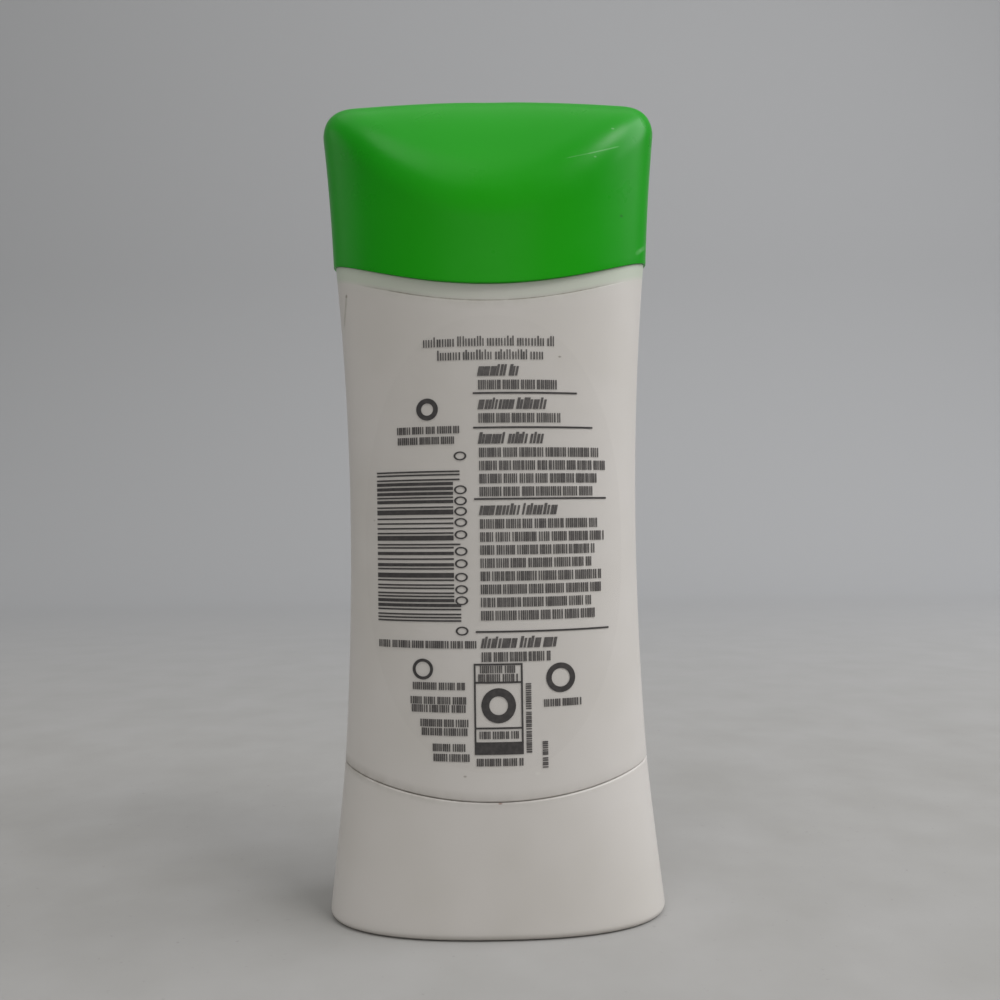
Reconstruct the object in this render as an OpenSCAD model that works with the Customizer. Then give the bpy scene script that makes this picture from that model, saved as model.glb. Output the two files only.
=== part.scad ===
// Deodorant stick: an oval, waisted pack with a push-on cap, a barrel, a flared base,
// a hand wheel and screw in one moulding, an elevator, the stick itself and two film labels.
// Millimetres. Z is up, the printed back faces -Y, and the origin is the centre of the foot.

/* [Base] */
// Width of the base where it stands
base_w = 57.9; // [54:0.5:66]
// Depth of the base where it stands
base_d = 29.5; // [28.5:0.5:36]
// Wall of the base
base_wall = 1.3; // [1:0.1:1.8]
// Rounding of the base's lower edge
base_edge_r = 1.2; // [0.5:0.1:2]
// How much the flare gathers towards the foot
base_flare = 1.12; // [1:0.02:1.6]
// Fullness of the foot's outline, where 2 is an ellipse
foot_power = 2.4; // [2:0.1:2.8]
// Underside of the deck that carries the hand wheel
deck_h = 13; // [11:0.5:16]
// Thickness of the deck
deck_t = 1.6; // [1.2:0.1:2.4]

/* [Seam] */
// Height of the seam at the two ends of the oval
seam_h = 25.9; // [23:0.5:30]
// How far the seam dips at the front and back
seam_dip = 4.1; // [0:0.1:6]
// Width of the pack at the seam
seam_w = 52.5; // [50:0.5:56]
// Depth of the pack at the seam
seam_d = 27.2; // [26:0.2:30]
// Gap between base and barrel in the seam
seam_gap = 0.1; // [0.05:0.05:0.3]
// Rounding of the two edges that form the seam's groove
groove_r = 0.4; // [0.3:0.1:1.2]

/* [Barrel] */
// Width of the waist
waist_w = 49.9; // [46:0.5:54]
// Depth of the waist
waist_d = 25.5; // [23:0.5:28]
// Height of the waist
waist_h = 65.4; // [50:1:80]
// Width of the barrel under the cap
shoulder_w = 54.1; // [53:0.2:58]
// Depth of the barrel under the cap
shoulder_d = 27.7; // [27:0.2:31]
// Wall of the barrel at the waist
barrel_wall = 1.5; // [1.2:0.1:2]
// Depth of the barrel's rim below the crest of the cap
rim_drop = 19.8; // [18:0.1:24]
// Top of the barrel's floor
floor_h = 27.7; // [27:0.5:34]
// Thickness of the barrel's floor
floor_t = 1.5; // [1:0.1:2.5]
// Fit of the barrel's spigot in the base
spigot_fit = 0.1; // [0.05:0.05:0.3]
// Gap between the spigot and the deck
spigot_gap = 0.2; // [0.1:0.1:1]
// Height of the plain band between the label panel and the cap
band_h = 2.7; // [1.5:0.1:5]
// How far the label panel stands proud of the band
panel_proud = 0.2; // [0:0.05:0.4]
// Radius of the hole in the floor for the screw
floor_hole_r = 4.1; // [4:0.1:5]

/* [Cap] */
// Height of the closed pack
height = 140.8; // [116:0.1:150]
// Width of the cap at its lower edge
cap_edge_w = 54.85; // [54.5:0.1:60]
// Depth of the cap at its lower edge
cap_edge_d = 28.2; // [28:0.1:32]
// Width of the cap at its widest
cap_w = 58.1; // [55:0.5:64]
// Depth of the cap at its deepest
cap_d = 29.7; // [28:0.5:34]
// Depth below the crest at which the cap is widest
cap_full_drop = 6.3; // [4:0.1:10]
// Length of the cap from its crest to its edge at the two ends
cap_h = 29.3; // [27:0.1:33]
// How far the cap's edge dips at the front and back
cap_dip = 6; // [0:0.2:6]
// How much of the cap's swell comes near its top
cap_swell = 0.45; // [0:0.05:0.9]
// Fall of the roof from its crest to the front and back
roof_drop = 20; // [14:0.5:21]
// Fall of the roof from its middle to the two ends
roof_fall = 1.6; // [0:0.1:3]
// Fullness of the arch of the roof and of the stick's dome, where 2 is a parabola
arch_power = 1.7; // [1.6:0.1:3]
// Rounding between the cap's sides and its roof
corner_r = 5; // [3:0.5:6]
// Wall of the cap
cap_wall = 1.4; // [1:0.1:1.8]
// Fit of the cap over the neck
cap_fit = 0.2; // [0.1:0.05:0.4]
// Gap between the cap's edge and the barrel's ledge
cap_gap = 0.15; // [0.05:0.05:0.4]
// Distance from the rim down to the bead that holds the cap
bead_drop = 6; // [4:0.5:8]
// How far the bead stands out of the neck
bead_out = 0.12; // [0:0.02:0.15]
// Half the height of the bead
bead_t = 1; // [0.6:0.2:2]

/* [Screw] */
// Radius of the hand wheel over its ribs
wheel_r = 11.6; // [10:0.2:12]
// Height of the hand wheel above the ground
wheel_z = 1.2; // [0.8:0.2:2]
// Length of the hand wheel's rim
wheel_h = 9.6; // [7:0.2:10]
// Thickness of the hand wheel's face and rim
wheel_t = 1.5; // [1:0.1:2]
// Number of finger ribs round the wheel
wheel_ribs = 40; // [24:4:60]
// Depth of the finger ribs
wheel_rib = 0.5; // [0.3:0.1:0.8]
// Radius of the hub
hub_r = 4.5; // [4.2:0.1:5]
// Fit of the hub in the deck
hub_fit = 0.06; // [0.03:0.01:0.1]
// Radius of the collars above and below the deck
collar_r = 5.8; // [5.4:0.1:6.5]
// Play between the collars and the deck
collar_gap = 0.15; // [0.1:0.05:0.4]
// Length of a collar
collar_t = 1.3; // [1:0.1:2]
// Radius of the screw's core
core_r = 2.6; // [2.4:0.1:2.8]
// Radius over the thread
thread_r = 3.7; // [3.5:0.1:3.8]
// Advance of the thread in one turn
thread_lead = 6; // [4.5:0.5:7]
// Thickness of the thread at its root
thread_root = 1.8; // [1.2:0.1:2]
// Thickness of the thread at its crest
thread_crest = 1; // [0.6:0.1:1.2]

/* [Elevator] */
// Thickness of the platform
platform_t = 1.6; // [1.2:0.1:2.5]
// Fit of the platform in the bore
platform_fit = 0.3; // [0.3:0.05:0.5]
// Gap under the platform at its lowest
platform_gap = 0.3; // [0.2:0.1:1]
// Height of the wiping skirt above the platform
skirt_h = 4; // [2:0.5:6]
// Thickness of the wiping skirt
skirt_t = 0.8; // [0.6:0.1:1.2]
// Outer radius of the nut
nut_r = 6.2; // [5.8:0.1:7]
// Length of the nut
nut_h = 17; // [12:1:22]
// Clearance between nut and screw
nut_fit = 0.2; // [0.15:0.05:0.3]
// Length of each anchoring rib from the axis
anchor_x = 17; // [10:1:19]
// Height of the anchoring ribs above the platform
anchor_h = 9; // [5:1:14]
// Thickness of the anchoring ribs
anchor_t = 1.4; // [1:0.1:2]

/* [Stick] */
// Depth of the full stick's crest below the crest of the cap
stick_drop = 6.8; // [4.8:0.2:10]
// Fall of the stick's dome from its crest to the front and back
dome_drop = 12; // [8:0.5:12.5]
// Fall of the stick's dome from its middle to the two ends
dome_fall = 5; // [1:0.5:8]
// Gap between the stick and the bore
stick_fit = 0.35; // [0.3:0.05:0.6]
// Gap between the stick and what it is cast on
cast_gap = 0.1; // [0.05:0.05:0.2]
// Length of the hollow above the end of the screw
bore_over = 2; // [1:0.5:5]
// Least thickness of the stick above the hollow
crown_t = 12; // [9:0.5:20]

/* [Labels] */
// Width of each film label
film_w = 43; // [36:1:44]
// Distance from the seam up to each label
film_over = 4.6; // [4:0.2:12]
// Distance from each label up to the band under the cap
film_under = 2.5; // [1:0.1:12]
// Squareness of the label's outline, where 2 is an ellipse
film_power = 2.3; // [2:0.1:4]
// Thickness of the film
film_t = 0.1; // [0.06:0.02:0.2]
// Stand-off between the barrel and the film
film_gap = 0.11; // [0.1:0.01:0.14]

/* [Print] */
// Height of the label that the print is laid out for; on another its heights spread or close up
print_h = 75; // [60:1:90]
// Width and height of one unit of the print's tables
unit_w = 1; // [0.8:0.05:1.05]
// Thickness of the print
ink_t = 0.05; // [0.03:0.01:0.1]
// Stand-off between the film and the print
ink_gap = 0.04; // [0.03:0.01:0.08]
// Left edge of the block of bars
bars_x = -18.7; // [-19:0.1:-16]
// Width of the block of bars
bars_w = 13.2; // [10:0.2:14]
// Foot of the block of bars below the middle of the label
bars_low = 12.9; // [10:0.5:18]
// Height of the block of bars
bars_h = 25; // [18:0.5:26]
// Number of bars
bars_n = 30; // [20:1:30]
// Left edge of the column of fine print
column_x = -1.6; // [-2:0.1:2]
// Distance between two rows of fine print
row_pitch = 2.12; // [1.8:0.02:2.3]
// Distance from a heading down to its first row, and up to the rule above it
head_pitch = 2.2; // [1.8:0.1:2.6]
// Height of a row of fine print
row_h = 1.1; // [0.6:0.1:1.4]
// Height of a heading
head_h = 1.5; // [1:0.1:2]
// Thickness of a rule
rule_h = 0.3; // [0.2:0.05:0.5]

/* [Quality] */
// Number of points round each oval
ring_n = 64; // [48:8:72]

/* [Hidden] */
$fn = 48;
white = "#D9D6CF";
green = "#2B9120";
ink = "#4A4645";
ink_light = "#8C8886";
groove_steps = 3;
wall_levels = 12;
roof_levels = 6;
corner_steps = 5;
rag = 1.2;
rule_drop = 0.35;
edge_break = 0.3;
deck_top = deck_h + deck_t;
spigot_z = deck_top + spigot_gap;
pilot_r = 3;
over = 1;
rim_h = height - rim_drop;
bead_h = rim_h - bead_drop;
cap_full_h = height - cap_full_drop;
cap_edge_h = height - cap_h;
stick_h = height - stick_drop;
bore = [waist_w / 2 - barrel_wall, waist_d / 2 - barrel_wall];
socket = [seam_w / 2 - base_wall, seam_d / 2 - base_wall];
spigot = socket - [spigot_fit, spigot_fit];
cap_clear = cap_wall + cap_fit;
neck = [cap_at(cap_edge_h, cap_edge_w, cap_w) - cap_clear,
    cap_at(cap_edge_h - cap_dip, cap_edge_d, cap_d) - cap_clear];
platform_z = floor_h + platform_gap;
platform_top = platform_z + platform_t;
nut_turns = 1;
thread_z = platform_z + thread_lead / 2;
thread_turns = floor((stick_h - crown_t - bore_over - thread_z) / thread_lead - 0.5);
screw_top = thread_z + (thread_turns + 0.5) * thread_lead;
nut_bore_r = thread_r + nut_fit;
thread_sink = 0.4;
film_low = seam_h - seam_dip + film_over;
film_top = cap_edge_h - cap_dip - band_h - film_under;
film_h = film_top - film_low;
film_z = (film_low + film_top) / 2;
spread = film_h / print_h;

// The oval and its heights: points lie closer together where the oval turns faster
function squared(v) = v * v;
function mix(a, b, t) = a + (b - a) * t;
function turn(i) = atan2(sqrt(waist_d / waist_w) * sin(360 * i / ring_n), cos(360 * i / ring_n));
function dipped(z, dip, t) = z - dip * squared(sin(t));
function oval(half, z) =
    [for (i = [0:ring_n - 1]) let (t = turn(i)) [half[0] * cos(t), half[1] * sin(t), z]];
function disc(r, z) = [for (i = [0:ring_n - 1]) let (t = turn(i)) [r * cos(t), r * sin(t), z]];

// Half width or half depth of each moulding at a height
function base_at(z, foot, seam) =
    mix(seam, foot, pow(max(0, seam_h - z) / seam_h, base_flare)) / 2;
function body_at(z, waist, seam, shoulder) = z < waist_h
    ? mix(waist, seam, squared((waist_h - z) / (waist_h - seam_h))) / 2
    : mix(waist, shoulder, squared((z - waist_h) / (cap_edge_h - waist_h))) / 2;
function cap_at(z, edge, full) =
    let (t = min(1, (z - cap_edge_h) / (cap_full_h - cap_edge_h)))
    mix(edge, full, t * (1 - cap_swell + cap_swell * t)) / 2;
function base_half(z) = [base_at(z, base_w, seam_w), base_at(z, base_d, seam_d)];
function body_half(z) = [body_at(z, waist_w, seam_w, shoulder_w),
    body_at(z, waist_d, seam_d, shoulder_d)];
function cap_half(z) = [cap_at(z, cap_edge_w, cap_w), cap_at(z, cap_edge_d, cap_d)];
function fuller(x, power) = sign(x) * pow(abs(x), 2 / power);
function base_point(z, t, inset = 0) = let (h = base_half(z),
    power = mix(2, foot_power, max(0, seam_h - z) / seam_h))
    [(h[0] - inset) * fuller(cos(t), power), (h[1] - inset) * fuller(sin(t), power), z];
function body_point(z, t, inset = 0) = let (h = body_half(z))
    [(h[0] - inset) * cos(t), (h[1] - inset) * sin(t), z];
function around(f) = [for (i = [0:ring_n - 1]) f(turn(i))];

// Triangles between rings of points, closed into a loop of rings or at two poles
function band(n, a, b) = [for (i = [0:n - 1]) let (j = (i + 1) % n)
    each [[a * n + i, b * n + i, b * n + j], [a * n + i, b * n + j, a * n + j]]];
function fan(n, k, pole, up) = [for (i = [0:n - 1]) let (j = (i + 1) % n)
    up ? [k * n + j, k * n + i, pole] : [k * n + i, k * n + j, pole]];
module ring_loop(rings) {
    n = len(rings[0]);
    m = len(rings);
    polyhedron([for (r = rings) each r], [for (k = [0:m - 1]) each band(n, k, (k + 1) % m)]);
}
module ring_stack(rings, low, high) {
    n = len(rings[0]);
    m = len(rings);
    polyhedron(concat([for (r = rings) each r], [low, high]),
        concat([for (k = [0:m - 2]) each band(n, k, k + 1)],
            fan(n, 0, n * m, false), fan(n, m - 1, n * m + 1, true)));
}

// The base: a flared oval shell with a deck for the hand wheel
module base() {
    quarter = [for (k = [0:groove_steps]) 90 * k / groove_steps];
    rim = function (t) dipped(seam_h, seam_dip, t);
    color(white) difference() {
        ring_loop(concat(
            [for (q = quarter) around(function (t)
                base_point(base_edge_r * (1 - cos(q)), t, base_edge_r * (1 - sin(q))))],
            [for (k = [1:wall_levels - 1]) around(function (t)
                base_point(mix(base_edge_r, rim(t) - groove_r, k / wall_levels), t))],
            [for (q = quarter) around(function (t)
                base_point(rim(t) - groove_r * (1 - sin(q)), t, groove_r * (1 - cos(q))))],
            [around(function (t) [socket[0] * cos(t), socket[1] * sin(t), rim(t)])],
            [around(function (t) base_point(deck_top, t, base_wall))],
            [disc(pilot_r, deck_top), disc(pilot_r, deck_h)],
            [around(function (t) base_point(deck_h, t, base_wall))],
            [around(function (t) base_point(0, t, base_wall + base_edge_r))]));
        translate([0, 0, deck_h - over])
            cylinder(h = deck_t + 2 * over, r = hub_r + hub_fit);
    }
}

// The barrel: waisted outside, straight inside, with a floor, a spigot and a neck
module barrel() {
    quarter = [for (k = [0:groove_steps]) 90 * k / groove_steps];
    lip = function (t) dipped(seam_h + seam_gap, seam_dip, t);
    ledge = function (t) dipped(cap_edge_h - cap_gap, cap_dip, t);
    fade = 1.6;
    fade_power = 3;
    proud = function (t) panel_proud * max(0, 1 - fade * pow(abs(cos(t)), fade_power));
    color(white) difference() {
        ring_loop(concat(
            [around(function (t) [spigot[0] * cos(t), spigot[1] * sin(t), lip(t)])],
            [for (q = quarter) around(function (t)
                body_point(lip(t) + groove_r * (1 - cos(q)), t, groove_r * (1 - sin(q))))],
            [for (k = [1:wall_levels]) around(function (t)
                body_point(mix(lip(t) + groove_r, ledge(t) - band_h - edge_break / 2,
                    k / wall_levels), t))],
            [around(function (t) body_point(ledge(t) - band_h, t, proud(t)))],
            [around(function (t) body_point(ledge(t) - edge_break, t, proud(t)))],
            [around(function (t) body_point(ledge(t), t, proud(t) + edge_break))],
            [around(function (t) [neck[0] * cos(t), neck[1] * sin(t), ledge(t)])],
            [for (s = [[-bead_t, 0], [0, bead_out], [bead_t, 0]])
                oval(neck + [s[1], s[1]], bead_h + s[0])],
            [oval(neck, rim_h - edge_break), oval(neck - [edge_break, edge_break], rim_h)],
            [oval(bore + [edge_break, edge_break], rim_h), oval(bore, rim_h - edge_break)],
            [oval(bore, floor_h), disc(pilot_r, floor_h), disc(pilot_r, floor_h - floor_t)],
            [oval(bore, floor_h - floor_t), oval(bore, spigot_z), oval(spigot, spigot_z)]));
        translate([0, 0, floor_h - floor_t - over])
            cylinder(h = floor_t + 2 * over, r = floor_hole_r);
    }
}

// The cap's skin at an inset from its outer face, from its edge up to its roof
function arch(crest, drop, fall, s, t) =
    crest - (drop * squared(sin(t)) + fall * squared(cos(t))) * pow(s, arch_power);
function roof_z(s, t, inset) = arch(height - inset, roof_drop - inset, roof_fall, s, t);
function cap_point(z, s, t, inset) = let (h = cap_half(min(z, roof_z(1, t, inset))))
    [(h[0] - inset) * s * cos(t), (h[1] - inset) * s * sin(t), z];
function cap_rings(inset) = let (
    r = corner_r - inset,
    inner = 1 - r / (cap_w / 2 - inset),
    foot = function (t) dipped(cap_edge_h, cap_dip, t),
    top = function (t) roof_z(1, t, inset) - r)
    concat(
        [for (k = [0:roof_levels]) around(function (t)
            cap_point(mix(foot(t), top(t), k / roof_levels), 1, t, inset))],
        [for (k = [1:corner_steps]) let (u = k / corner_steps) around(function (t)
            cap_point(squared(1 - u) * top(t) + 2 * u * (1 - u) * roof_z(1, t, inset)
                + squared(u) * roof_z(inner, t, inset), 1 - (1 - inner) * squared(u), t, inset))],
        [for (k = [1:roof_levels - 1]) let (s = inner * (1 - k / roof_levels))
            around(function (t) cap_point(roof_z(s, t, inset), s, t, inset))]);
function reversed(list) = [for (k = [len(list) - 1:-1:0]) list[k]];

// The cap: an oval cup with an arched roof
module cap() {
    color(green) ring_stack(concat(reversed(cap_rings(cap_wall)), cap_rings(0)),
        [0, 0, height - cap_wall], [0, 0, height]);
}

// A helical ridge between two radii, wound as a left-hand thread round the Z axis
module helix_ridge(r_root, r_crest, root, crest, z, turns) {
    per_turn = 12;
    steps = per_turn * turns;
    section = [[r_root, -root / 2], [r_root, root / 2], [r_crest, crest / 2], [r_crest, -crest / 2]];
    points = [for (k = [0:steps]) let (t = -360 * k / per_turn) for (p = section)
        [p[0] * cos(t), p[0] * sin(t), z + thread_lead * k / per_turn + p[1]]];
    sides = [for (k = [0:steps - 1], i = [0:3]) let (a = 4 * k + i, b = 4 * k + (i + 1) % 4)
        each [[a, b, b + 4], [a, b + 4, a + 4]]];
    faces = r_root < r_crest ? sides : [for (f = sides) reversed(f)];
    ends = [[3, 2, 1, 0], [for (i = [0:3]) 4 * steps + i]];
    polyhedron(points, concat(faces, r_root < r_crest ? ends : [for (f = ends) reversed(f)]));
}

// The hand wheel with its hub, collars and screw, moulded as one
module dial_screw() {
    hub_top = deck_top + collar_gap;
    color(white) union() {
        difference() {
            translate([0, 0, wheel_z]) linear_extrude(wheel_h)
                polygon([for (k = [0:2 * wheel_ribs - 1]) let (r = wheel_r - wheel_rib * (k % 2))
                    r * [cos(180 * k / wheel_ribs), sin(180 * k / wheel_ribs)]]);
            translate([0, 0, wheel_z + wheel_t])
                cylinder(h = wheel_h, r = wheel_r - wheel_rib - wheel_t);
        }
        translate([0, 0, wheel_z + wheel_t / 2])
            cylinder(h = hub_top - wheel_z, r = hub_r);
        translate([0, 0, deck_h - collar_gap - collar_t])
            cylinder(h = collar_t, r = collar_r);
        translate([0, 0, hub_top])
            cylinder(h = collar_t, r1 = collar_r, r2 = hub_r);
        translate([0, 0, hub_top])
            cylinder(h = screw_top - hub_top, r = core_r);
        helix_ridge(core_r - thread_sink, thread_r, thread_root, thread_crest, thread_z, thread_turns);
    }
}

// The elevator: a platform with a wiping skirt, a threaded nut and two anchoring ribs
module elevator() {
    outer = bore - [platform_fit, platform_fit];
    inner = outer - [skirt_t, skirt_t];
    groove = thread_lead - thread_root - 2 * nut_fit;
    taper = thread_root - thread_crest;
    color(white) union() {
        difference() {
            union() {
                ring_loop([oval(outer, platform_z), oval(outer, platform_top + skirt_h),
                    oval(inner, platform_top + skirt_h), oval(inner, platform_top),
                    disc(pilot_r, platform_top), disc(pilot_r, platform_z)]);
                translate([0, 0, platform_z]) cylinder(h = nut_h, r = nut_r);
                translate([-anchor_x, -anchor_t / 2, platform_z + platform_t / 2])
                    cube([2 * anchor_x, anchor_t, anchor_h + platform_t / 2]);
            }
            translate([0, 0, platform_z - over])
                cylinder(h = nut_h + 2 * over, r = nut_bore_r);
        }
        helix_ridge(nut_bore_r + thread_sink, core_r + nut_fit, groove, groove - taper,
            thread_z + thread_lead / 2, nut_turns);
    }
}

// The stick: a domed block cast round the nut and the screw
module deodorant_stick() {
    side = bore - [stick_fit, stick_fit];
    foot = bore - [platform_fit + skirt_t + cast_gap, platform_fit + skirt_t + cast_gap];
    low = platform_top + cast_gap;
    step = platform_top + skirt_h + cast_gap;
    slot_t = anchor_t + 2 * cast_gap;
    color("white") difference() {
        ring_stack(concat(
            [oval(foot, low), oval(foot, step), oval(side, step)],
            [for (k = [0:roof_levels - 1]) let (s = cos(90 * k / roof_levels))
                around(function (t) [side[0] * s * cos(t), side[1] * s * sin(t),
                    arch(stick_h, dome_drop, dome_fall, s, t) - (k == 0 ? edge_break : 0)])]),
            [0, 0, low], [0, 0, stick_h]);
        translate([0, 0, low - over])
            cylinder(h = platform_z + nut_h + cast_gap - low + over, r = nut_r + cast_gap);
        translate([0, 0, low - over])
            cylinder(h = screw_top + bore_over - low + over, r = thread_r + 2 * cast_gap);
        translate([-anchor_x - cast_gap, -slot_t / 2, low - over])
            cube([2 * (anchor_x + cast_gap), slot_t, anchor_h + over]);
    }
}

// A point that stands off the front of the barrel, from its angle to the axis or from its x
function off_barrel(t, z, out) = let (h = body_half(z), n = [sin(t) / h[0], -cos(t) / h[1]])
    concat([h[0] * sin(t), -h[1] * cos(t)] + out * n / norm(n), z);
function angle_at(x, z) = asin(x / body_half(z)[0]);

// A thin patch that follows the barrel, from its left to its right edge at each height
module patch(rows, columns, low, high) {
    n = columns + 1;
    m = len(rows);
    layer = function (out) [for (r = rows) for (i = [0:columns])
        off_barrel(mix(angle_at(r[0], r[2]), angle_at(r[1], r[2]), i / columns), r[2], out)];
    front = [for (k = [0:m - 2], i = [0:columns - 1]) let (a = k * n + i, b = a + n)
        each [[a, b, b + 1], [a, b + 1, a + 1]]];
    rim = concat([for (i = [0:columns - 1]) i], [for (k = [0:m - 2]) k * n + columns],
        [for (i = [columns:-1:1]) (m - 1) * n + i], [for (k = [m - 1:-1:1]) k * n]);
    c = len(rim);
    s = n * m;
    polyhedron(concat(layer(high), layer(low)), concat(front,
        [for (f = front) [for (v = reversed(f)) v + s]],
        [for (i = [0:c - 1]) let (a = rim[i], b = rim[(i + 1) % c])
            each [[a, b, b + s], [a, b + s, a + s]]]));
}

// A clear film label with an upright, rounded outline
module film_label() {
    levels = 16;
    columns = 20;
    reach = 0.985;
    rows = [for (k = [0:levels]) let (
        v = reach * sin(mix(-90, 90, k / levels)),
        w = film_w / 2 * pow(1 - pow(abs(v), film_power), 1 / film_power))
        [-w, w, film_z + v * film_h / 2]];
    patch(rows, columns, film_gap, film_gap + film_t);
}
module back_label() {
    color("gainsboro") film_label();
}
module front_label() {
    color("gainsboro") mirror([0, 1, 0]) film_label();
}

// A printed bar between two x, and a printed ring, at heights from the middle of the label
ink_low = film_gap + film_t + ink_gap;
ink_high = ink_low + ink_t;
ink_turn = 6;
module bar(x0, x1, z, h) {
    middle = film_z + z * spread;
    angle = angle_at(x1, middle) - angle_at(x0, middle);
    patch([for (side = [-1, 1]) [x0, x1, middle + side * h / 2]], ceil(angle / ink_turn),
        ink_low, ink_high);
}
module ring(x, z, r, t) {
    points = 24;
    loop = function (radius, out) [for (k = [0:points - 1]) let (a = 360 * k / points,
        level = film_z + z * spread + radius * sin(a))
        off_barrel(angle_at(x + radius * cos(a), level), level, out)];
    ring_loop([loop(r, ink_low), loop(r, ink_high), loop(r - t, ink_high), loop(r - t, ink_low)]);
}

// The block of bars, with thicknesses in a plain repeating order as shares of their pitch
bar_shares = [0.3, 0.6, 0.4, 0.75, 0.45];
module print_bars() {
    pitch = bars_h / bars_n;
    color(ink) for (k = [0:bars_n - 1])
        bar(bars_x, bars_x + bars_w, pitch * (k + 0.5) - bars_low,
            pitch * spread * bar_shares[k % len(bar_shares)]);
}

// The tables below are in units, with heights from the middle of the label.
// The framed panel: left, right, bottom and top, its dark foot and its two dividers
panel = unit_w * [-2.9, 5, -34.2, -19.8];
panel_foot = unit_w * 2;
dividers = unit_w * [-30, -22.7];
// Plain rings: x, height, radius and thickness of the line
marks = unit_w * [[1.05, -26.4, 2.4, 0.8], [-10, 21.7, 1.8, 0.7], [11.2, -22.2, 2.3, 0.6],
    [-11.2, -20.6, 1.7, 0.5]];
// Blocks of the column: heading's height and right end, rows' end and rule's end
blocks = unit_w * [[27.7, 4.6, 11.4, 0], [22.3, 9.6, 11.8, 14.6], [16.7, 8.6, 18.2, 17.2],
    [5.1, 11, 17.6, 19.4], [-16.4, 10.4, 9.6, 19.5]];
block_rows = [1, 1, 4, 8, 1];
// Single headings and rows: left end, right end and height
headings = unit_w * [[-10.5, 10.9, 32.4], [-8.2, 9.1, 30.2]];
single_rows = unit_w * [[-15.1, -4.9, 18.3], [-15, -5.4, 16.6], [-18.6, -2.4, -16.6],
    [-12.9, -4.4, -23.3], [-13.3, -4.2, -25.6], [-13.1, -4.4, -26.9], [-11.7, -4, -29.2],
    [-11.5, -3.9, -30.6], [-9.7, -4.3, -33.1], [-9.6, -3.9, -34.7], [8.4, 14.4, -26.2],
    [-2.6, 4.8, -35.4]];

// Rules, the framed panel and the plain marks
module print_lines() {
    levels = concat([panel[2] + panel_foot], dividers, [panel[3]]);
    color(ink) {
        for (b = blocks) if (b[3] > 0)
            bar(column_x, b[3], b[0] + head_pitch - rule_drop, rule_h);
        for (z = concat(dividers, [panel[3]])) bar(panel[0], panel[1], z, rule_h);
        bar(panel[0], panel[1], panel[2] + panel_foot / 2, panel_foot * spread);
        for (x = [panel[0], panel[1] - rule_h], k = [0:len(dividers)])
            bar(x, x + rule_h, (levels[k] + levels[k + 1]) / 2,
                (levels[k + 1] - levels[k]) * spread - 2 * rule_h);
        for (m = marks) ring(m[0], m[1], m[2], m[3]);
    }
}

// Headings and rows of fine print as plain bands; the rows end raggedly
module print_rows() {
    left = column_x + rule_h;
    ragged = function (k) rag * sin(100 * k);
    color(ink_light) {
        for (b = blocks) bar(left, b[1], b[0], head_h);
        for (i = [0:len(blocks) - 1], k = [0:block_rows[i] - 1])
            bar(left, blocks[i][2] + ragged(k), blocks[i][0] - head_pitch - k * row_pitch, row_h);
        for (r = single_rows) bar(r[0], r[1], r[2], row_h);
        for (r = headings) bar(r[0], r[1], r[2], head_h);
    }
}

base();
barrel();
cap();
dial_screw();
elevator();
deodorant_stick();
back_label();
front_label();
print_bars();
print_lines();
print_rows();
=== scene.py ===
"""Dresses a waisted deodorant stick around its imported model: shells, screw, stick, films and print."""
import logging
import math
import random
from collections.abc import Callable, Sequence
from dataclasses import dataclass, field
from enum import Enum
from typing import NamedTuple

import bmesh
import bpy
from mathutils import Matrix, Vector


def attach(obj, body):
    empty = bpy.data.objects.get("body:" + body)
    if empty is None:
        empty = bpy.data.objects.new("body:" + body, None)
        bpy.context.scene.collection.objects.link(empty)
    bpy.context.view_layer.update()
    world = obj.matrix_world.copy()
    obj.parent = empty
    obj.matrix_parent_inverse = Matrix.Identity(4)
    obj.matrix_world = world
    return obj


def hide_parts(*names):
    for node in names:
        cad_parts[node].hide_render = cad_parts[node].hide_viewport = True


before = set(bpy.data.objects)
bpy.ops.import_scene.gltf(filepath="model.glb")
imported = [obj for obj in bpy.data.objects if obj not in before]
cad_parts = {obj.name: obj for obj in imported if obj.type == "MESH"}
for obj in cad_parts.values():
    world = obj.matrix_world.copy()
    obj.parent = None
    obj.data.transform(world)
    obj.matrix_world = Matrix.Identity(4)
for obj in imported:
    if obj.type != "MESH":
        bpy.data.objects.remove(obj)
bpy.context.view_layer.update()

MM = 0.001
SEGMENTS = 192
SMOOTH_ANGLE = math.radians(32)
log = logging.getLogger("pack")

Triple = tuple[float, float, float]
Ring = Callable[[float], Vector]
Setting = float | int | str | bool | tuple[float, ...]


class Slot(Enum):
    """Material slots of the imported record."""

    WHITE = "white_plastic"
    GREEN = "green_plastic"
    STICK = "stick"
    FILM = "clear_film"
    DARK = "dark_print"
    GREY = "grey_print"


class Body(Enum):
    """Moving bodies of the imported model."""

    CONTAINER = "container"
    DIAL = "dial"
    CARRIAGE = "carriage"
    CAP = "cap"


def mix(a: float, b: float, share: float) -> float:
    """Blend two numbers.

    Args:
        a: Value at share 0.
        b: Value at share 1.
        share: Place between them.

    Returns:
        The value at that place.
    """
    return a + (b - a) * share


def quarter(steps: int) -> list[float]:
    """Angles from 0 to a quarter turn.

    Args:
        steps: Number of steps.

    Returns:
        The angles in radians, both ends among them.
    """
    return [math.pi / 2 * k / steps for k in range(steps + 1)]


def rounded(radius: float, steps: int) -> list[tuple[float, float]]:
    """Quarter round between two faces that meet at a right angle.

    Args:
        radius: Radius of the round.
        steps: Number of steps.

    Returns:
        Distances of each point inside the first face and inside the second, from the first face on.
    """
    return [(radius * (1 - math.cos(q)), radius * (1 - math.sin(q))) for q in quarter(steps)]


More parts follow.
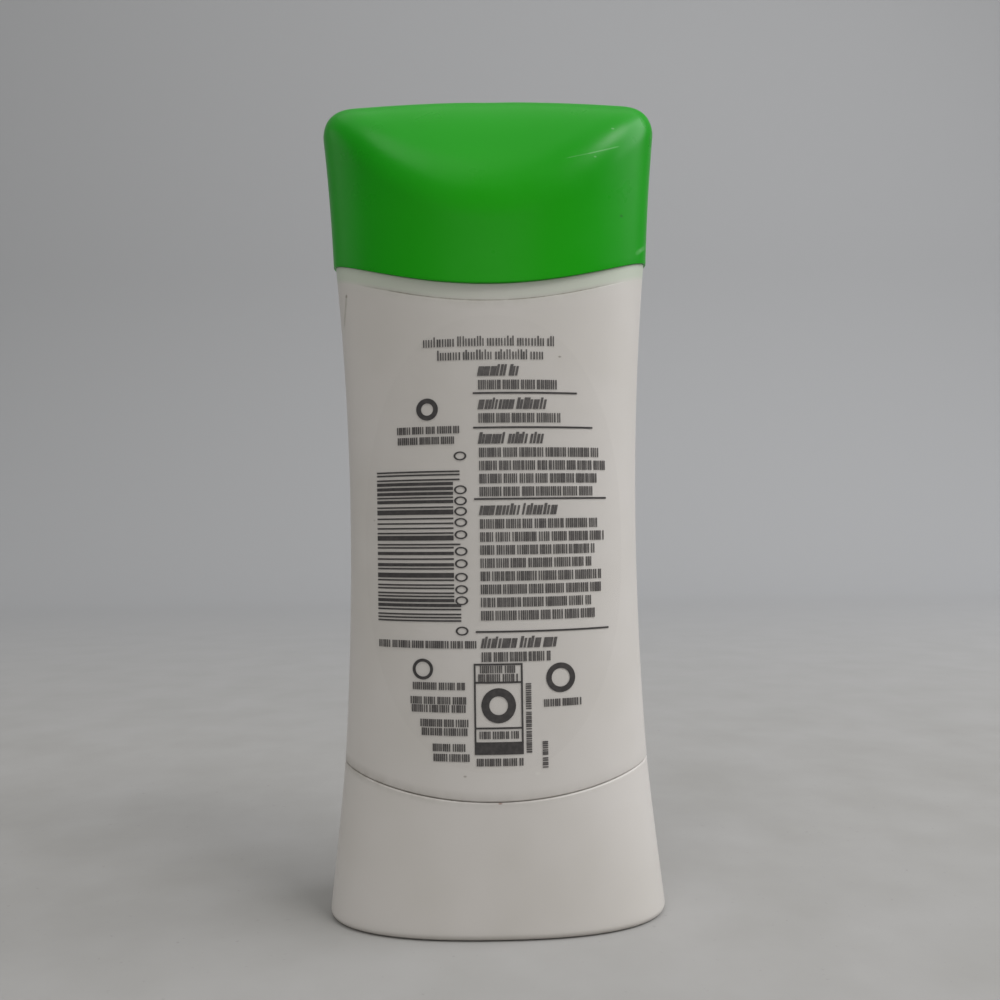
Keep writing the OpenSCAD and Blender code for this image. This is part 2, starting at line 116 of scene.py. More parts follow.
def linear(hex_colour: str) -> tuple[float, float, float, float]:
    """Turn an sRGB colour into the linear values that the shaders take.

    Args:
        hex_colour: Colour such as "#A0B0C0".

    Returns:
        Linear red, green, blue and an alpha of 1.
    """
    values = [int(hex_colour[i:i + 2], 16) / 255 for i in (1, 3, 5)]
    red, green, blue = (v / 12.92 if v <= 0.04045 else ((v + 0.055) / 1.055) ** 2.4 for v in values)
    return red, green, blue, 1.0


# The form of the pack


class Oval(NamedTuple):
    """Oval section, in millimetres."""

    width: float
    depth: float

    def toward(self, other: "Oval", share: float) -> "Oval":
        """Blend two sections.

        Args:
            other: Section at share 1.
            share: Place between the two.

        Returns:
            The section at that place.
        """
        return Oval(mix(self.width, other.width, share), mix(self.depth, other.depth, share))

    def point(self, turn: float, z: float, inset: float = 0.0, share: float = 1.0,
              power: float = 2.0) -> Vector:
        """Point on the oval.

        Args:
            turn: Angle round the Z axis, in radians, from the right end.
            z: Height.
            inset: Distance inside the oval.
            share: Share of the way out from the axis.
            power: Fullness of the oval, where 2 is an ellipse.

        Returns:
            The point, in millimetres.
        """
        across, deep = math.cos(turn), math.sin(turn)
        across, deep = (math.copysign(abs(side) ** (2 / power), side) for side in (across, deep))
        return Vector(((self.width / 2 - inset) * share * across, (self.depth / 2 - inset) * share * deep, z))


@dataclass(frozen=True)
class PackForm:
    """Outer form of the closed pack, in millimetres, with Z up and the printed back facing -Y."""

    foot: Oval = Oval(57.9, 29.5)
    seam: Oval = Oval(52.5, 27.2)
    waist: Oval = Oval(49.9, 25.5)
    shoulder: Oval = Oval(54.1, 27.7)
    cap_edge: Oval = Oval(54.85, 28.2)
    cap_full: Oval = Oval(58.1, 29.7)
    flare: float = 1.12
    foot_power: float = 2.4
    swell: float = 0.45
    seam_h: float = 25.9
    seam_dip: float = 4.1
    waist_h: float = 65.4
    cap_edge_h: float = 111.5
    cap_dip: float = 6.0
    cap_full_h: float = 134.5
    height: float = 140.8

    def base_at(self, z: float) -> Oval:
        """Section of the base at a height."""
        return self.seam.toward(self.foot, (max(0.0, self.seam_h - z) / self.seam_h) ** self.flare)

    def base_point(self, turn: float, z: float, inset: float = 0.0) -> Vector:
        """Point on the base, whose section is fuller towards the foot."""
        power = mix(2.0, self.foot_power, max(0.0, self.seam_h - z) / self.seam_h)
        return self.base_at(z).point(turn, z, inset, power=power)

    def body_at(self, z: float) -> Oval:
        """Section of the barrel at a height."""
        if z < self.waist_h:
            return self.waist.toward(self.seam, ((self.waist_h - z) / (self.waist_h - self.seam_h)) ** 2)
        return self.waist.toward(self.shoulder, ((z - self.waist_h) / (self.cap_edge_h - self.waist_h)) ** 2)

    def cap_at(self, z: float) -> Oval:
        """Section of the cap at a height."""
        share = min(1.0, (z - self.cap_edge_h) / (self.cap_full_h - self.cap_edge_h))
        return self.cap_edge.toward(self.cap_full, share * (1 - self.swell + self.swell * share))

    def seam_z(self, turn: float) -> float:
        """Height of the seam at an angle."""
        return self.seam_h - self.seam_dip * math.sin(turn) ** 2

    def cap_edge_z(self, turn: float) -> float:
        """Height of the cap's edge at an angle."""
        return self.cap_edge_h - self.cap_dip * math.sin(turn) ** 2

    def turn_of(self, point: Vector) -> float:
        """Angle round the pack at which a point lies."""
        return math.atan2(point.y / self.seam.depth, point.x / self.seam.width)

    def on_barrel(self, x: float, z: float, out: float) -> Vector:
        """Point that stands off the printed back of the barrel.

        Args:
            x: Distance right of the axis, seen from the printed side.
            z: Height.
            out: Distance off the surface.

        Returns:
            The point, in millimetres.
        """
        section = self.body_at(z)
        wide, deep = section.width / 2, section.depth / 2
        turn = math.asin(max(-1.0, min(1.0, x / wide)))
        normal = Vector((math.sin(turn) / wide, -math.cos(turn) / deep, 0.0)).normalized()
        return Vector((wide * math.sin(turn), -deep * math.cos(turn), z)) + normal * out


# Meshes


def loft(rings: Sequence[Ring], closed: bool, segments: int = SEGMENTS) -> bmesh.types.BMesh:
    """Spin a line of points round Z and lay each of its circles on a ring of the piece.

    Args:
        rings: Point on each ring at an angle, in millimetres; a pole gives one point for every angle.
        closed: Whether the last ring joins the first.
        segments: Number of points round a ring.

    Returns:
        The shaped mesh, in metres, with its faces outwards.
    """
    bm = bmesh.new()
    line = [bm.verts.new((1.0, 0.0, float(k))) for k in range(len(rings))]
    edges = [bm.edges.new(pair) for pair in zip(line, line[1:])]
    if closed:
        edges.append(bm.edges.new((line[-1], line[0])))
    bmesh.ops.spin(bm, geom=line + edges, cent=(0, 0, 0), axis=(0, 0, 1), angle=math.tau,
                   steps=segments, use_merge=True)
    for vert in bm.verts:
        vert.co = rings[round(vert.co.z)](math.atan2(vert.co.y, vert.co.x)) * MM
    bmesh.ops.remove_doubles(bm, verts=bm.verts, dist=1e-7)
    bmesh.ops.recalc_face_normals(bm, faces=bm.faces)
    return bm


def circle(radius: float, z: float) -> Ring:
    """Round ring at a height."""
    return lambda turn: Vector((radius * math.cos(turn), radius * math.sin(turn), z))


def pole(z: float) -> Ring:
    """Point on the axis, where a loft closes."""
    return lambda turn: Vector((0.0, 0.0, z))


def helix(section: Sequence[tuple[float, float]], z: float, lead: float, turns: int,
          steps: int = 36) -> bmesh.types.BMesh:
    """Wind a section into a left-hand thread round Z.

    Args:
        section: Radius and height of each corner.
        z: Height at which the thread starts.
        lead: Advance in one turn.
        turns: Number of turns.
        steps: Steps in a turn.

    Returns:
        The closed thread, in metres.
    """
    bm = bmesh.new()
    corners = [bm.verts.new((radius * MM, 0.0, (z + level) * MM)) for radius, level in section]
    start = bm.faces.new(corners)
    bmesh.ops.spin(bm, geom=[start], cent=(0, 0, 0), axis=(0, 0, 1), angle=-math.tau * turns,
                   dvec=(0, 0, lead * MM / steps), steps=steps * turns)
    bmesh.ops.recalc_face_normals(bm, faces=bm.faces)
    return bm


def join(*parts: bmesh.types.BMesh) -> bmesh.types.BMesh:
    """Put several meshes into the first one.

    Args:
        parts: The meshes; all but the first are freed.

    Returns:
        The first mesh, with the others in it.
    """
    whole, *rest = parts
    for part in rest:
        carrier = bpy.data.meshes.new("part")
        part.to_mesh(carrier)
        part.free()
        whole.from_mesh(carrier)
        bpy.data.meshes.remove(carrier)
    return whole


def box(low: Vector, high: Vector, edge: float) -> bmesh.types.BMesh:
    """Block between two corners with rounded edges.

    Args:
        low: Lowest corner, in millimetres.
        high: Highest corner, in millimetres.
        edge: Radius of the edges, in millimetres.

    Returns:
        The mesh, in metres.
    """
    bm = bmesh.new()
    size = (high - low) * MM
    place = Matrix.Translation((low + high) / 2 * MM) @ Matrix.Diagonal((*size, 1.0))
    bmesh.ops.create_cube(bm, size=1.0, matrix=place)
    bmesh.ops.bevel(bm, geom=bm.edges[:], offset=edge * MM, segments=2, profile=0.5, affect="EDGES",
                    material=-1)
    return bm


def finished(name: str, bm: bmesh.types.BMesh, body: Body, slot: Slot, finish: bpy.types.Material,
             *nodes: str) -> bpy.types.Object:
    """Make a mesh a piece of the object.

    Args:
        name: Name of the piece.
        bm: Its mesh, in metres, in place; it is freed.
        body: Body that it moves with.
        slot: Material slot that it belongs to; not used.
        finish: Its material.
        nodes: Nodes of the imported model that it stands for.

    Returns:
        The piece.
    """
    mesh = bpy.data.meshes.new(name)
    bm.to_mesh(mesh)
    bm.free()
    mesh.shade_smooth()
    mesh.set_sharp_from_angle(angle=SMOOTH_ANGLE)
    piece = bpy.data.objects.new(name, mesh)
    bpy.context.scene.collection.objects.link(piece)
    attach(piece, body.value)
    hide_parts(*nodes)
    mesh.materials.append(finish)
    mesh.calc_loop_triangles()
    log.info("%s: %d triangles on %s", name, len(mesh.loop_triangles), body.value)
    return piece


def mark(piece: bpy.types.Object, name: str, amount: Callable[[Vector], float]) -> None:
    """Write a value from 0 to 1 on each point of a piece, for its material to read.

    Args:
        piece: The piece.
        name: Name of the attribute.
        amount: Value at a point given in millimetres.
    """
    layer = piece.data.attributes.new(name, "FLOAT", "POINT")
    values = [max(0.0, min(1.0, amount(vert.co / MM))) for vert in piece.data.vertices]
    layer.data.foreach_set("value", values)


# Materials


def add(tree: bpy.types.NodeTree, kind: str, settings: dict[str, Setting] | None = None,
        **inputs: Setting | bpy.types.NodeSocket) -> bpy.types.Node:
    """Add a node with its settings and links.

    Args:
        tree: Node tree.
        kind: Type of node.
        settings: Properties of the node.
        inputs: Value or linked output for each input, by its name with _ for a space, or by its number
            after an n.

    Returns:
        The node.
    """
    node = tree.nodes.new(kind)
    for key, value in (settings or {}).items():
        setattr(node, key, value)
    for key, value in inputs.items():
        socket = node.inputs[int(key[1:])] if key[1:].isdigit() else node.inputs[key.replace("_", " ")]
        if isinstance(value, bpy.types.NodeSocket):
            tree.links.new(value, socket)
        else:
            socket.default_value = value
    return node


def started(name: str) -> tuple[bpy.types.Material, bpy.types.NodeTree, bpy.types.Node, bpy.types.NodeSocket]:
    """Start a material with a Principled shader and Object coordinates.

    Args:
        name: Name of the material.

    Returns:
        The material, its tree, its shader and the coordinates.
    """
    material = bpy.data.materials.new(name)
    material.use_nodes = True
    tree = material.node_tree
    shader = tree.nodes["Principled BSDF"]
    return material, tree, shader, add(tree, "ShaderNodeTexCoord").outputs["Object"]


def blotches(tree: bpy.types.NodeTree, place: bpy.types.NodeSocket, size_mm: float, detail: float,
             cut: tuple[float, float], span: tuple[float, float] = (0.0, 1.0)) -> bpy.types.NodeSocket:
    """Pattern of soft-rimmed blotches: noise cut between two of its levels.

    Args:
        tree: Node tree.
        place: Coordinates in metres.
        size_mm: Size of a blotch, in millimetres.
        detail: Number of finer layers.
        cut: Levels of the noise at which a blotch starts and is full.
        span: Value outside a blotch and in its middle.

    Returns:
        The pattern.
    """
    noise = add(tree, "ShaderNodeTexNoise", Vector=place, Scale=1 / (size_mm * MM), Detail=detail)
    return add(tree, "ShaderNodeMapRange", Value=noise.outputs["Fac"], From_Min=cut[0], From_Max=cut[1],
               To_Min=span[0], To_Max=span[1]).outputs["Result"]


def layered(tree: bpy.types.NodeTree, ground: Setting | bpy.types.NodeSocket,
            *layers: tuple[bpy.types.NodeSocket, Setting | bpy.types.NodeSocket]) -> bpy.types.NodeSocket:
    """Lay colours over a ground, each as thick as its mask says.

    Args:
        tree: Node tree.
        ground: Colour or output at the bottom.
        layers: Mask and colour of each layer, from the lowest up.

    Returns:
        The colour seen from above.
    """
    for mask, colour in layers:
        ground = add(tree, "ShaderNodeMix", {"data_type": "RGBA"}, n0=mask, n6=ground, n7=colour).outputs[2]
    return ground


def grained(tree: bpy.types.NodeTree, shader: bpy.types.Node, place: bpy.types.NodeSocket, size_mm: float,
            strength: float, depth_mm: float) -> None:
    """Give a shader a fine, uneven skin.

    Args:
        tree: Node tree.
        shader: The shader.
        place: Coordinates in metres.
        size_mm: Size of the grain, in millimetres.
        strength: How much the grain turns the surface.
        depth_mm: Depth of the grain, in millimetres.
    """
    grain = add(tree, "ShaderNodeTexNoise", Vector=place, Scale=1 / (size_mm * MM), Detail=3.0)
    bump = add(tree, "ShaderNodeBump", Strength=strength, Distance=depth_mm * MM, Height=grain.outputs["Fac"])
    tree.links.new(bump.outputs["Normal"], shader.inputs["Normal"])


class Blemish(NamedTuple):
    """Scratch or dot on a surface, from end to end, in millimetres."""

    start: Vector
    end: Vector
    wide: float
    strength: float
    colour: str

    def mask(self, tree: bpy.types.NodeTree, place: bpy.types.NodeSocket) -> bpy.types.NodeSocket:
        """How much of the mark shows at a point.

        Args:
            tree: Node tree.
            place: Coordinates in metres.

        Returns:
            A value from 0 to the mark's strength, softer at its rim.
        """
        along, wide = self.end - self.start, MM * self.wide
        # Half of the length would end it at its ends; a little more lets the marks of one line run together.
        long = MM * (along.length * 0.7 + self.wide)
        around = add(tree, "ShaderNodeMapping", {"vector_type": "TEXTURE"}, Vector=place,
                     Location=tuple((self.start + self.end) / 2 * MM),
                     Rotation=tuple(along.to_track_quat("X", "Z").to_euler()),
                     Scale=(long, wide, wide)).outputs["Vector"]
        far = add(tree, "ShaderNodeVectorMath", {"operation": "LENGTH"}, n0=around).outputs["Value"]
        return add(tree, "ShaderNodeMapRange", Value=far, From_Min=1.0, From_Max=0.5, To_Min=0.0,
                   To_Max=self.strength).outputs["Result"]


def scratch(line: Sequence[Triple], wide: float, strength: float, colour: str) -> list[Blemish]:
    """Scratch that follows a line of points on a surface.

    Args:
        line: Points, in millimetres.
        wide: Half its width.
        strength: How much of it shows.
        colour: Its colour.

    Returns:
        One mark between each two points.
    """
    points = [Vector(point) for point in line]
    return [Blemish(*ends, wide, strength, colour) for ends in zip(points, points[1:])]


def dot(place: Vector | Triple, wide: float, strength: float, colour: str) -> Blemish:
    """Dot on a surface.

    Args:
        place: Its middle, in millimetres.
        wide: Its radius.
        strength: How much of it shows.
        colour: Its colour.

    Returns:
        The mark.
    """
    step = Vector((wide / 2, 0.0, 0.0))
    return Blemish(Vector(place) - step, Vector(place) + step, wide, strength, colour)


@dataclass(frozen=True)
class MouldedPolypropylene:
    """Injection-moulded polypropylene: a satin skin, barely cloudy, with a soft gloss, seams darkened by dust
    and painted shade, and painted light on parts marked for it.
    """

    name: str
    colour: str
    cloud: str
    # Colour of the dust and painted shade at marked edges.
    dust_and_shade: str = "#6A614F"
    # Colour of painted light on marked parts, light bounced or let through.
    painted_light: str = "#BCC6B2"
    roughness: float = 0.42
    shine: float = 0.5
    glow: float = 0.12
    blemishes: tuple[Blemish, ...] = ()

    def material(self) -> bpy.types.Material:
        """Build the finish.

        Returns:
            The material.
        """
        material, tree, shader, place = started(self.name)
        # Clouds as wide as a thumb: melt never sets quite evenly, so the flat colour gets a little life.
        cloud = blotches(tree, place, 17.0, 2.0, (0.35, 0.65))
        # Dust and painted shade: dust sits in crumbs of a millimetre or two and thins out unevenly, and the
        # same dark colour paints shade into the marked seam, step and foot; only marked edges have any.
        dust_and_shade_mark = add(tree, "ShaderNodeAttribute", {"attribute_name": "dust_and_shade"}).outputs["Fac"]
        crumbs = blotches(tree, place, 1.6, 4.0, (0.3, 0.6), (0.55, 1.0))
        dust_and_shade_mask = add(tree, "ShaderNodeMath", {"operation": "MULTIPLY"}, n0=dust_and_shade_mark, n1=crumbs).outputs["Value"]
        # Painted light: light that would come back from a neighbour or through a thin wall is painted as a
        # tint on the parts marked for it.
        painted_light_mask = add(tree, "ShaderNodeAttribute", {"attribute_name": "painted_light"}).outputs["Fac"]
        layers = [(cloud, linear(self.cloud)), (painted_light_mask, linear(self.painted_light)), (dust_and_shade_mask, linear(self.dust_and_shade))]
        layers += [(blemish.mask(tree, place), linear(blemish.colour)) for blemish in self.blemishes]
        tree.links.new(layered(tree, linear(self.colour), *layers), shader.inputs["Base Color"])
        # Handling polishes the skin in patches about a fingertip wide.
        gloss = blotches(tree, place, 6.0, 3.0, (0.3, 0.7), (self.roughness - 0.03, self.roughness + 0.05))
        tree.links.new(gloss, shader.inputs["Roughness"])
        # The mould's spark grain is about 0.05 mm, too fine to show, so it is drawn coarser at 0.4 mm.
        grained(tree, shader, place, 0.4, 0.08, 0.01)
        shader.inputs["IOR"].default_value = 1.49
        shader.inputs["Specular IOR Level"].default_value = self.shine
        shader.inputs["Subsurface Weight"].default_value = self.glow
        shader.inputs["Subsurface Radius"].default_value = (1.0, 1.0, 1.0)
        shader.inputs["Subsurface Scale"].default_value = 1.2 * MM
        return material


@dataclass(frozen=True)
class ClearFilm:
    """Clear polyester label film: a thin veil that is a little glossier than the plastic under it."""

    name: str = "clear_polyester_film"
    colour: str = "#CFC8C2"
    veil: float = 0.01
    roughness: float = 0.4

    def material(self) -> bpy.types.Material:
        """Build the finish.

        Returns:
            The material.
        """
        material, tree, shader, place = started(self.name)
        # Glue left a few duller patches, some millimetres wide.
        gloss = blotches(tree, place, 3.0, 3.0, (0.3, 0.7), (self.roughness, self.roughness + 0.06))
        tree.links.new(gloss, shader.inputs["Roughness"])
        shader.inputs["Base Color"].default_value = linear(self.colour)
        shader.inputs["IOR"].default_value = 1.57
        shader.inputs["Alpha"].default_value = self.veil
        return material


@dataclass(frozen=True)
class FlexoInk:
    """Flexographic ink on film: a thin, even layer with slightly starved patches."""

    name: str
    colour: str
    starved: str

    def material(self) -> bpy.types.Material:
        """Build the finish.

        Returns:
            The material.
        """
        material, tree, shader, place = started(self.name)
        # The plate starves the ink in patches under a millimetre wide, which greys the print unevenly.
        patch = blotches(tree, place, 0.7, 3.0, (0.4, 0.75))
        ink = layered(tree, linear(self.colour), (patch, linear(self.starved)))
        tree.links.new(ink, shader.inputs["Base Color"])
        shader.inputs["Roughness"].default_value = 0.45
        shader.inputs["IOR"].default_value = 1.5
        return material


@dataclass(frozen=True)
class PouredStick:
    """Stearate gel poured hot and set: waxy, cloudy, faintly see-through, with a soft shine."""

    name: str = "poured_stearate_gel"
    colour: str = "#D9D8CC"
    cloud: str = "#D4D5C8"

    def material(self) -> bpy.types.Material:
        """Build the finish.

        Returns:
            The material.
        """
        material, tree, shader, place = started(self.name)
        # The gel sets with clouds some millimetres wide.
        cloud = blotches(tree, place, 7.0, 3.0, (0.35, 0.65))
        gel = layered(tree, linear(self.colour), (cloud, linear(self.cloud)))
        tree.links.new(gel, shader.inputs["Base Color"])
        # Wiping drags fine lines across the width, under a millimetre apart.
        drag = add(tree, "ShaderNodeMapping", Vector=place, Scale=(0.15, 1.0, 1.0)).outputs["Vector"]
        grained(tree, shader, drag, 0.8, 0.3, 0.05)
        shader.inputs["Roughness"].default_value = 0.38
        shader.inputs["IOR"].default_value = 1.44
        shader.inputs["Subsurface Weight"].default_value = 0.35
        shader.inputs["Subsurface Radius"].default_value = (1.0, 0.9, 0.7)
        shader.inputs["Subsurface Scale"].default_value = 3 * MM
        return material


# Sub-assemblies


@dataclass
class Base:
    """Flared foot of the pack, with the deck that carries the hand wheel."""

    form: PackForm
    wall: float = 1.3
    edge_r: float = 1.2
    groove_r: float = 0.28
    deck_h: float = 13.0
    deck_t: float = 1.6
    hub_hole_r: float = 4.56
    levels: int = 26
    # Width and strength of the dust and painted shade at the seam, and of the painted contact shade round the
    # foot.
    dust_and_shade_w: float = 0.35
    seam_dust_and_shade: float = 0.6
    foot_shade: float = 0.5

    def rings(self) -> list[Ring]:
        """Rings of the shell, from the outer edge of the foot round to its inner edge.

        Returns:
            The rings, as a closed line.
        """
        form, edge, groove = self.form, self.edge_r, self.groove_r
        top = self.deck_h + self.deck_t
        socket = Oval(form.seam.width - 2 * self.wall, form.seam.depth - 2 * self.wall)

        def outer(level: Callable[[float], float], inset: float) -> Ring:
            """Ring inside the outer skin, at a height that changes round it."""
            return lambda turn: form.base_point(turn, level(turn), inset)

        def plain(z: float, inset: float) -> Ring:
            """Level ring inside the outer skin."""
            return lambda turn: form.base_point(turn, z, inset)

        rings = [plain(up, inset) for up, inset in rounded(edge, 8)]
        rings += [outer(lambda turn, k=k: mix(edge, form.seam_z(turn) - groove, k / self.levels), 0.0)
                  for k in range(1, self.levels)]
        rings += [outer(lambda turn, drop=drop: form.seam_z(turn) - drop, inset)
                  for inset, drop in rounded(groove, 8)]
        rings += [lambda turn: socket.point(turn, form.seam_z(turn)), plain(top, self.wall),
                  circle(self.hub_hole_r, top), circle(self.hub_hole_r, self.deck_h),
                  plain(self.deck_h, self.wall), plain(0.0, self.wall + edge)]
        return rings

    def build(self, finish: bpy.types.Material) -> bpy.types.Object:
        """Build and dress the base.

        Args:
            finish: Its material.

        Returns:
            The piece.
        """
        shell = loft(self.rings(), closed=True)
        piece = finished("flared_base", shell, Body.CONTAINER, Slot.WHITE, finish, "base")
        # Mark where dust and painted shade darken the seam, and where painted contact shade darkens the foot.
        mark(piece, "dust_and_shade", self.dust_and_shade)
        return piece

    def dust_and_shade(self, point: Vector) -> float:
        """Amount of dust and painted shade along the seam, more at the left end, and of painted contact shade
        round the foot.

        Args:
            point: Place, in millimetres.

        Returns:
            A share of the colour that paints dust and shade.
        """
        turn = self.form.turn_of(point)
        down, up = max(0.0, self.form.seam_z(turn) - point.z), max(0.0, point.z)
        left = mix(0.1, 1.0, (1 - math.cos(turn)) / 2)
        at_seam = left * math.exp(-down / self.dust_and_shade_w) * self.seam_dust_and_shade
        # The band along the foot's lower edge is painted shade where the pack meets the floor.
        return at_seam + self.foot_shade * math.exp(-up / self.dust_and_shade_w)


@dataclass
class Barrel:
    """Waisted tube of the pack: spigot, floor, label panel, plain band, neck and rim."""

    form: PackForm
    wall: float = 1.5
    groove_r: float = 0.28
    gap: float = 0.05
    ledge_gap: float = 0.03
    band_h: float = 2.7
    proud: float = 0.2
    fade: float = 1.6
    edge: float = 0.3
    ledge_edge: float = 0.08
    neck_clear: float = 1.6
    bead_h: float = 115.0
    bead_out: float = 0.12
    rim_h: float = 121.0
    floor_h: float = 27.7
    floor_t: float = 1.5
    floor_hole_r: float = 4.1
    spigot_z: float = 14.8
    spigot_inset: float = 1.4
    levels: int = 56
    band_levels: tuple[float, ...] = (0.05, 0.2, 0.7, 1.3, 1.9)
    # Width and strength of the dust and painted shade at the seam, and of the painted shade line under the
    # panel's step.
    dust_and_shade_w: float = 0.35
    seam_dust_and_shade: float = 0.7
    step_shade_w: float = 0.13
    step_shade: float = 0.75

    def step_depth(self, turn: float) -> float:
        """How far the panel stands proud of the band at an angle."""
        return self.proud * max(0.0, 1 - self.fade * abs(math.cos(turn)) ** 3)

    def lip_z(self, turn: float) -> float:
        """Height of the barrel's lower edge at an angle."""
        return self.form.seam_z(turn) + self.gap

    def ledge_z(self, turn: float) -> float:
        """Height of the ledge that the cap comes down to."""
        return self.form.cap_edge_z(turn) - self.ledge_gap

    def bore(self) -> Oval:
        """Section of the bore that the stick runs in."""
        return Oval(self.form.waist.width - 2 * self.wall, self.form.waist.depth - 2 * self.wall)

    def neck(self) -> Oval:
        """Section of the neck inside the cap.

        Returns:
            The section.
        """
        wide = self.form.cap_at(self.form.cap_edge_h).width
        deep = self.form.cap_at(self.form.cap_edge_h - self.form.cap_dip).depth
        return Oval(wide - 2 * self.neck_clear, deep - 2 * self.neck_clear)

    def rings(self) -> list[Ring]:
        """Rings of the shell, from its lower lip up the outside and down the inside.

        Returns:
            The rings, as a closed line.
        """
        form, groove, edge = self.form, self.groove_r, self.edge
        spigot = Oval(form.seam.width - 2 * self.spigot_inset, form.seam.depth - 2 * self.spigot_inset)
        neck, bore = self.neck(), self.bore()
        panel_top, below = self.band_h + edge / 2, self.floor_h - self.floor_t

        def outer(level: Callable[[float], float], inset: Callable[[float], float]) -> Ring:
            """Ring inside the outer skin, at a height and a depth that change round it."""
            return lambda turn: form.body_at(level(turn)).point(turn, level(turn), inset(turn))

        def plain(oval: Oval, z: float, inset: float = 0.0) -> Ring:
            """Level ring inside an oval."""
            return lambda turn: oval.point(turn, z, inset)

        rings = [lambda turn: spigot.point(turn, self.lip_z(turn))]
        rings += [outer(lambda turn, up=up: self.lip_z(turn) + up, lambda turn, inset=inset: inset)
                  for up, inset in rounded(groove, 8)]
        rings += [outer(lambda turn, k=k: mix(self.lip_z(turn) + groove, self.ledge_z(turn) - panel_top,
                                              k / self.levels), lambda turn: 0.0)
                  for k in range(1, self.levels + 1)]
        rings += [outer(lambda turn, q=q: self.ledge_z(turn) - panel_top + edge / 2 * math.sin(q),
                        lambda turn, q=q: self.step_depth(turn) * (1 - math.cos(q))) for q in quarter(4)[1:]]
        rings += [outer(lambda turn, up=up: self.ledge_z(turn) - self.band_h + up, self.step_depth)
                  for up in (*self.band_levels, self.band_h - self.ledge_edge)]
        rings += [outer(lambda turn, drop=drop: self.ledge_z(turn) - drop,
                        lambda turn, inset=inset: self.step_depth(turn) + inset)
                  for inset, drop in rounded(self.ledge_edge, 4)[1:]]
        rings += [lambda turn: neck.point(turn, self.ledge_z(turn))]
        rings += [plain(neck, self.bead_h + mix(-1, 1, k / 8), -self.bead_out * math.sin(math.pi * k / 8))
                  for k in range(9)]
        rings += [plain(neck, self.rim_h - drop, inset) for inset, drop in rounded(edge, 4)]
        rings += [plain(bore, self.rim_h - drop, -inset) for drop, inset in rounded(edge, 4)]
        rings += [plain(bore, mix(self.rim_h - edge, self.floor_h, k / 8)) for k in range(1, 9)]
        rings += [circle(self.floor_hole_r, self.floor_h), circle(self.floor_hole_r, below),
                  plain(bore, below), plain(bore, self.spigot_z), plain(spigot, self.spigot_z)]
        return rings

    def build(self, finish: bpy.types.Material) -> bpy.types.Object:
        """Build and dress the barrel.

        Args:
            finish: Its material.

        Returns:
            The piece.
        """
        shell = loft(self.rings(), closed=True)
        piece = finished("waisted_barrel", shell, Body.CONTAINER, Slot.WHITE, finish, "barrel")
        # Mark where dust and painted shade darken the seam and the step.
        mark(piece, "dust_and_shade", self.dust_and_shade)
        # Mark where painted green bounce light and shade tint the band under the cap.
        mark(piece, "painted_light", self.painted_light)
        return piece

    def dust_and_shade(self, point: Vector) -> float:
        """Amount of dust and painted shade along the seam and, fainter, of a painted shade line under the
        panel's step.

        Args:
            point: Place, in millimetres.

        Returns:
            A share of the colour that paints dust and shade.
        """
        turn = self.form.turn_of(point)
        left = mix(0.15, 1.0, (1 - math.cos(turn)) / 2)
        up = abs(point.z - self.lip_z(turn))
        step = abs(point.z - (self.ledge_z(turn) - self.band_h))
        # The step runs out towards the pack's ends, and the painted shade with it.
        middle = max(0.0, min(1.0, (0.85 - abs(math.cos(turn))) / 0.25))
        at_seam = left * math.exp(-up / self.dust_and_shade_w) * self.seam_dust_and_shade
        return at_seam + middle * math.exp(-(step / self.step_shade_w) ** 2) * self.step_shade

    def painted_light(self, point: Vector) -> float:
        """Share of painted green bounce light and painted shade on the pale band under the cap, more at its
        two ends.

        Args:
            point: Place, in millimetres.

        Returns:
            A share of the painted light's colour.
        """
        turn = self.form.turn_of(point)
        skin = self.form.body_at(point.z).point(turn, point.z)
        if skin.xy.length - point.xy.length > self.neck_clear / 2:
            return 0.0
        down = self.ledge_z(turn) - point.z
        below = max(0.0, 1 - max(0.0, down - 0.8 * self.band_h) / (0.3 * self.band_h))
        return mix(0.3, 0.85, abs(math.cos(turn))) * below


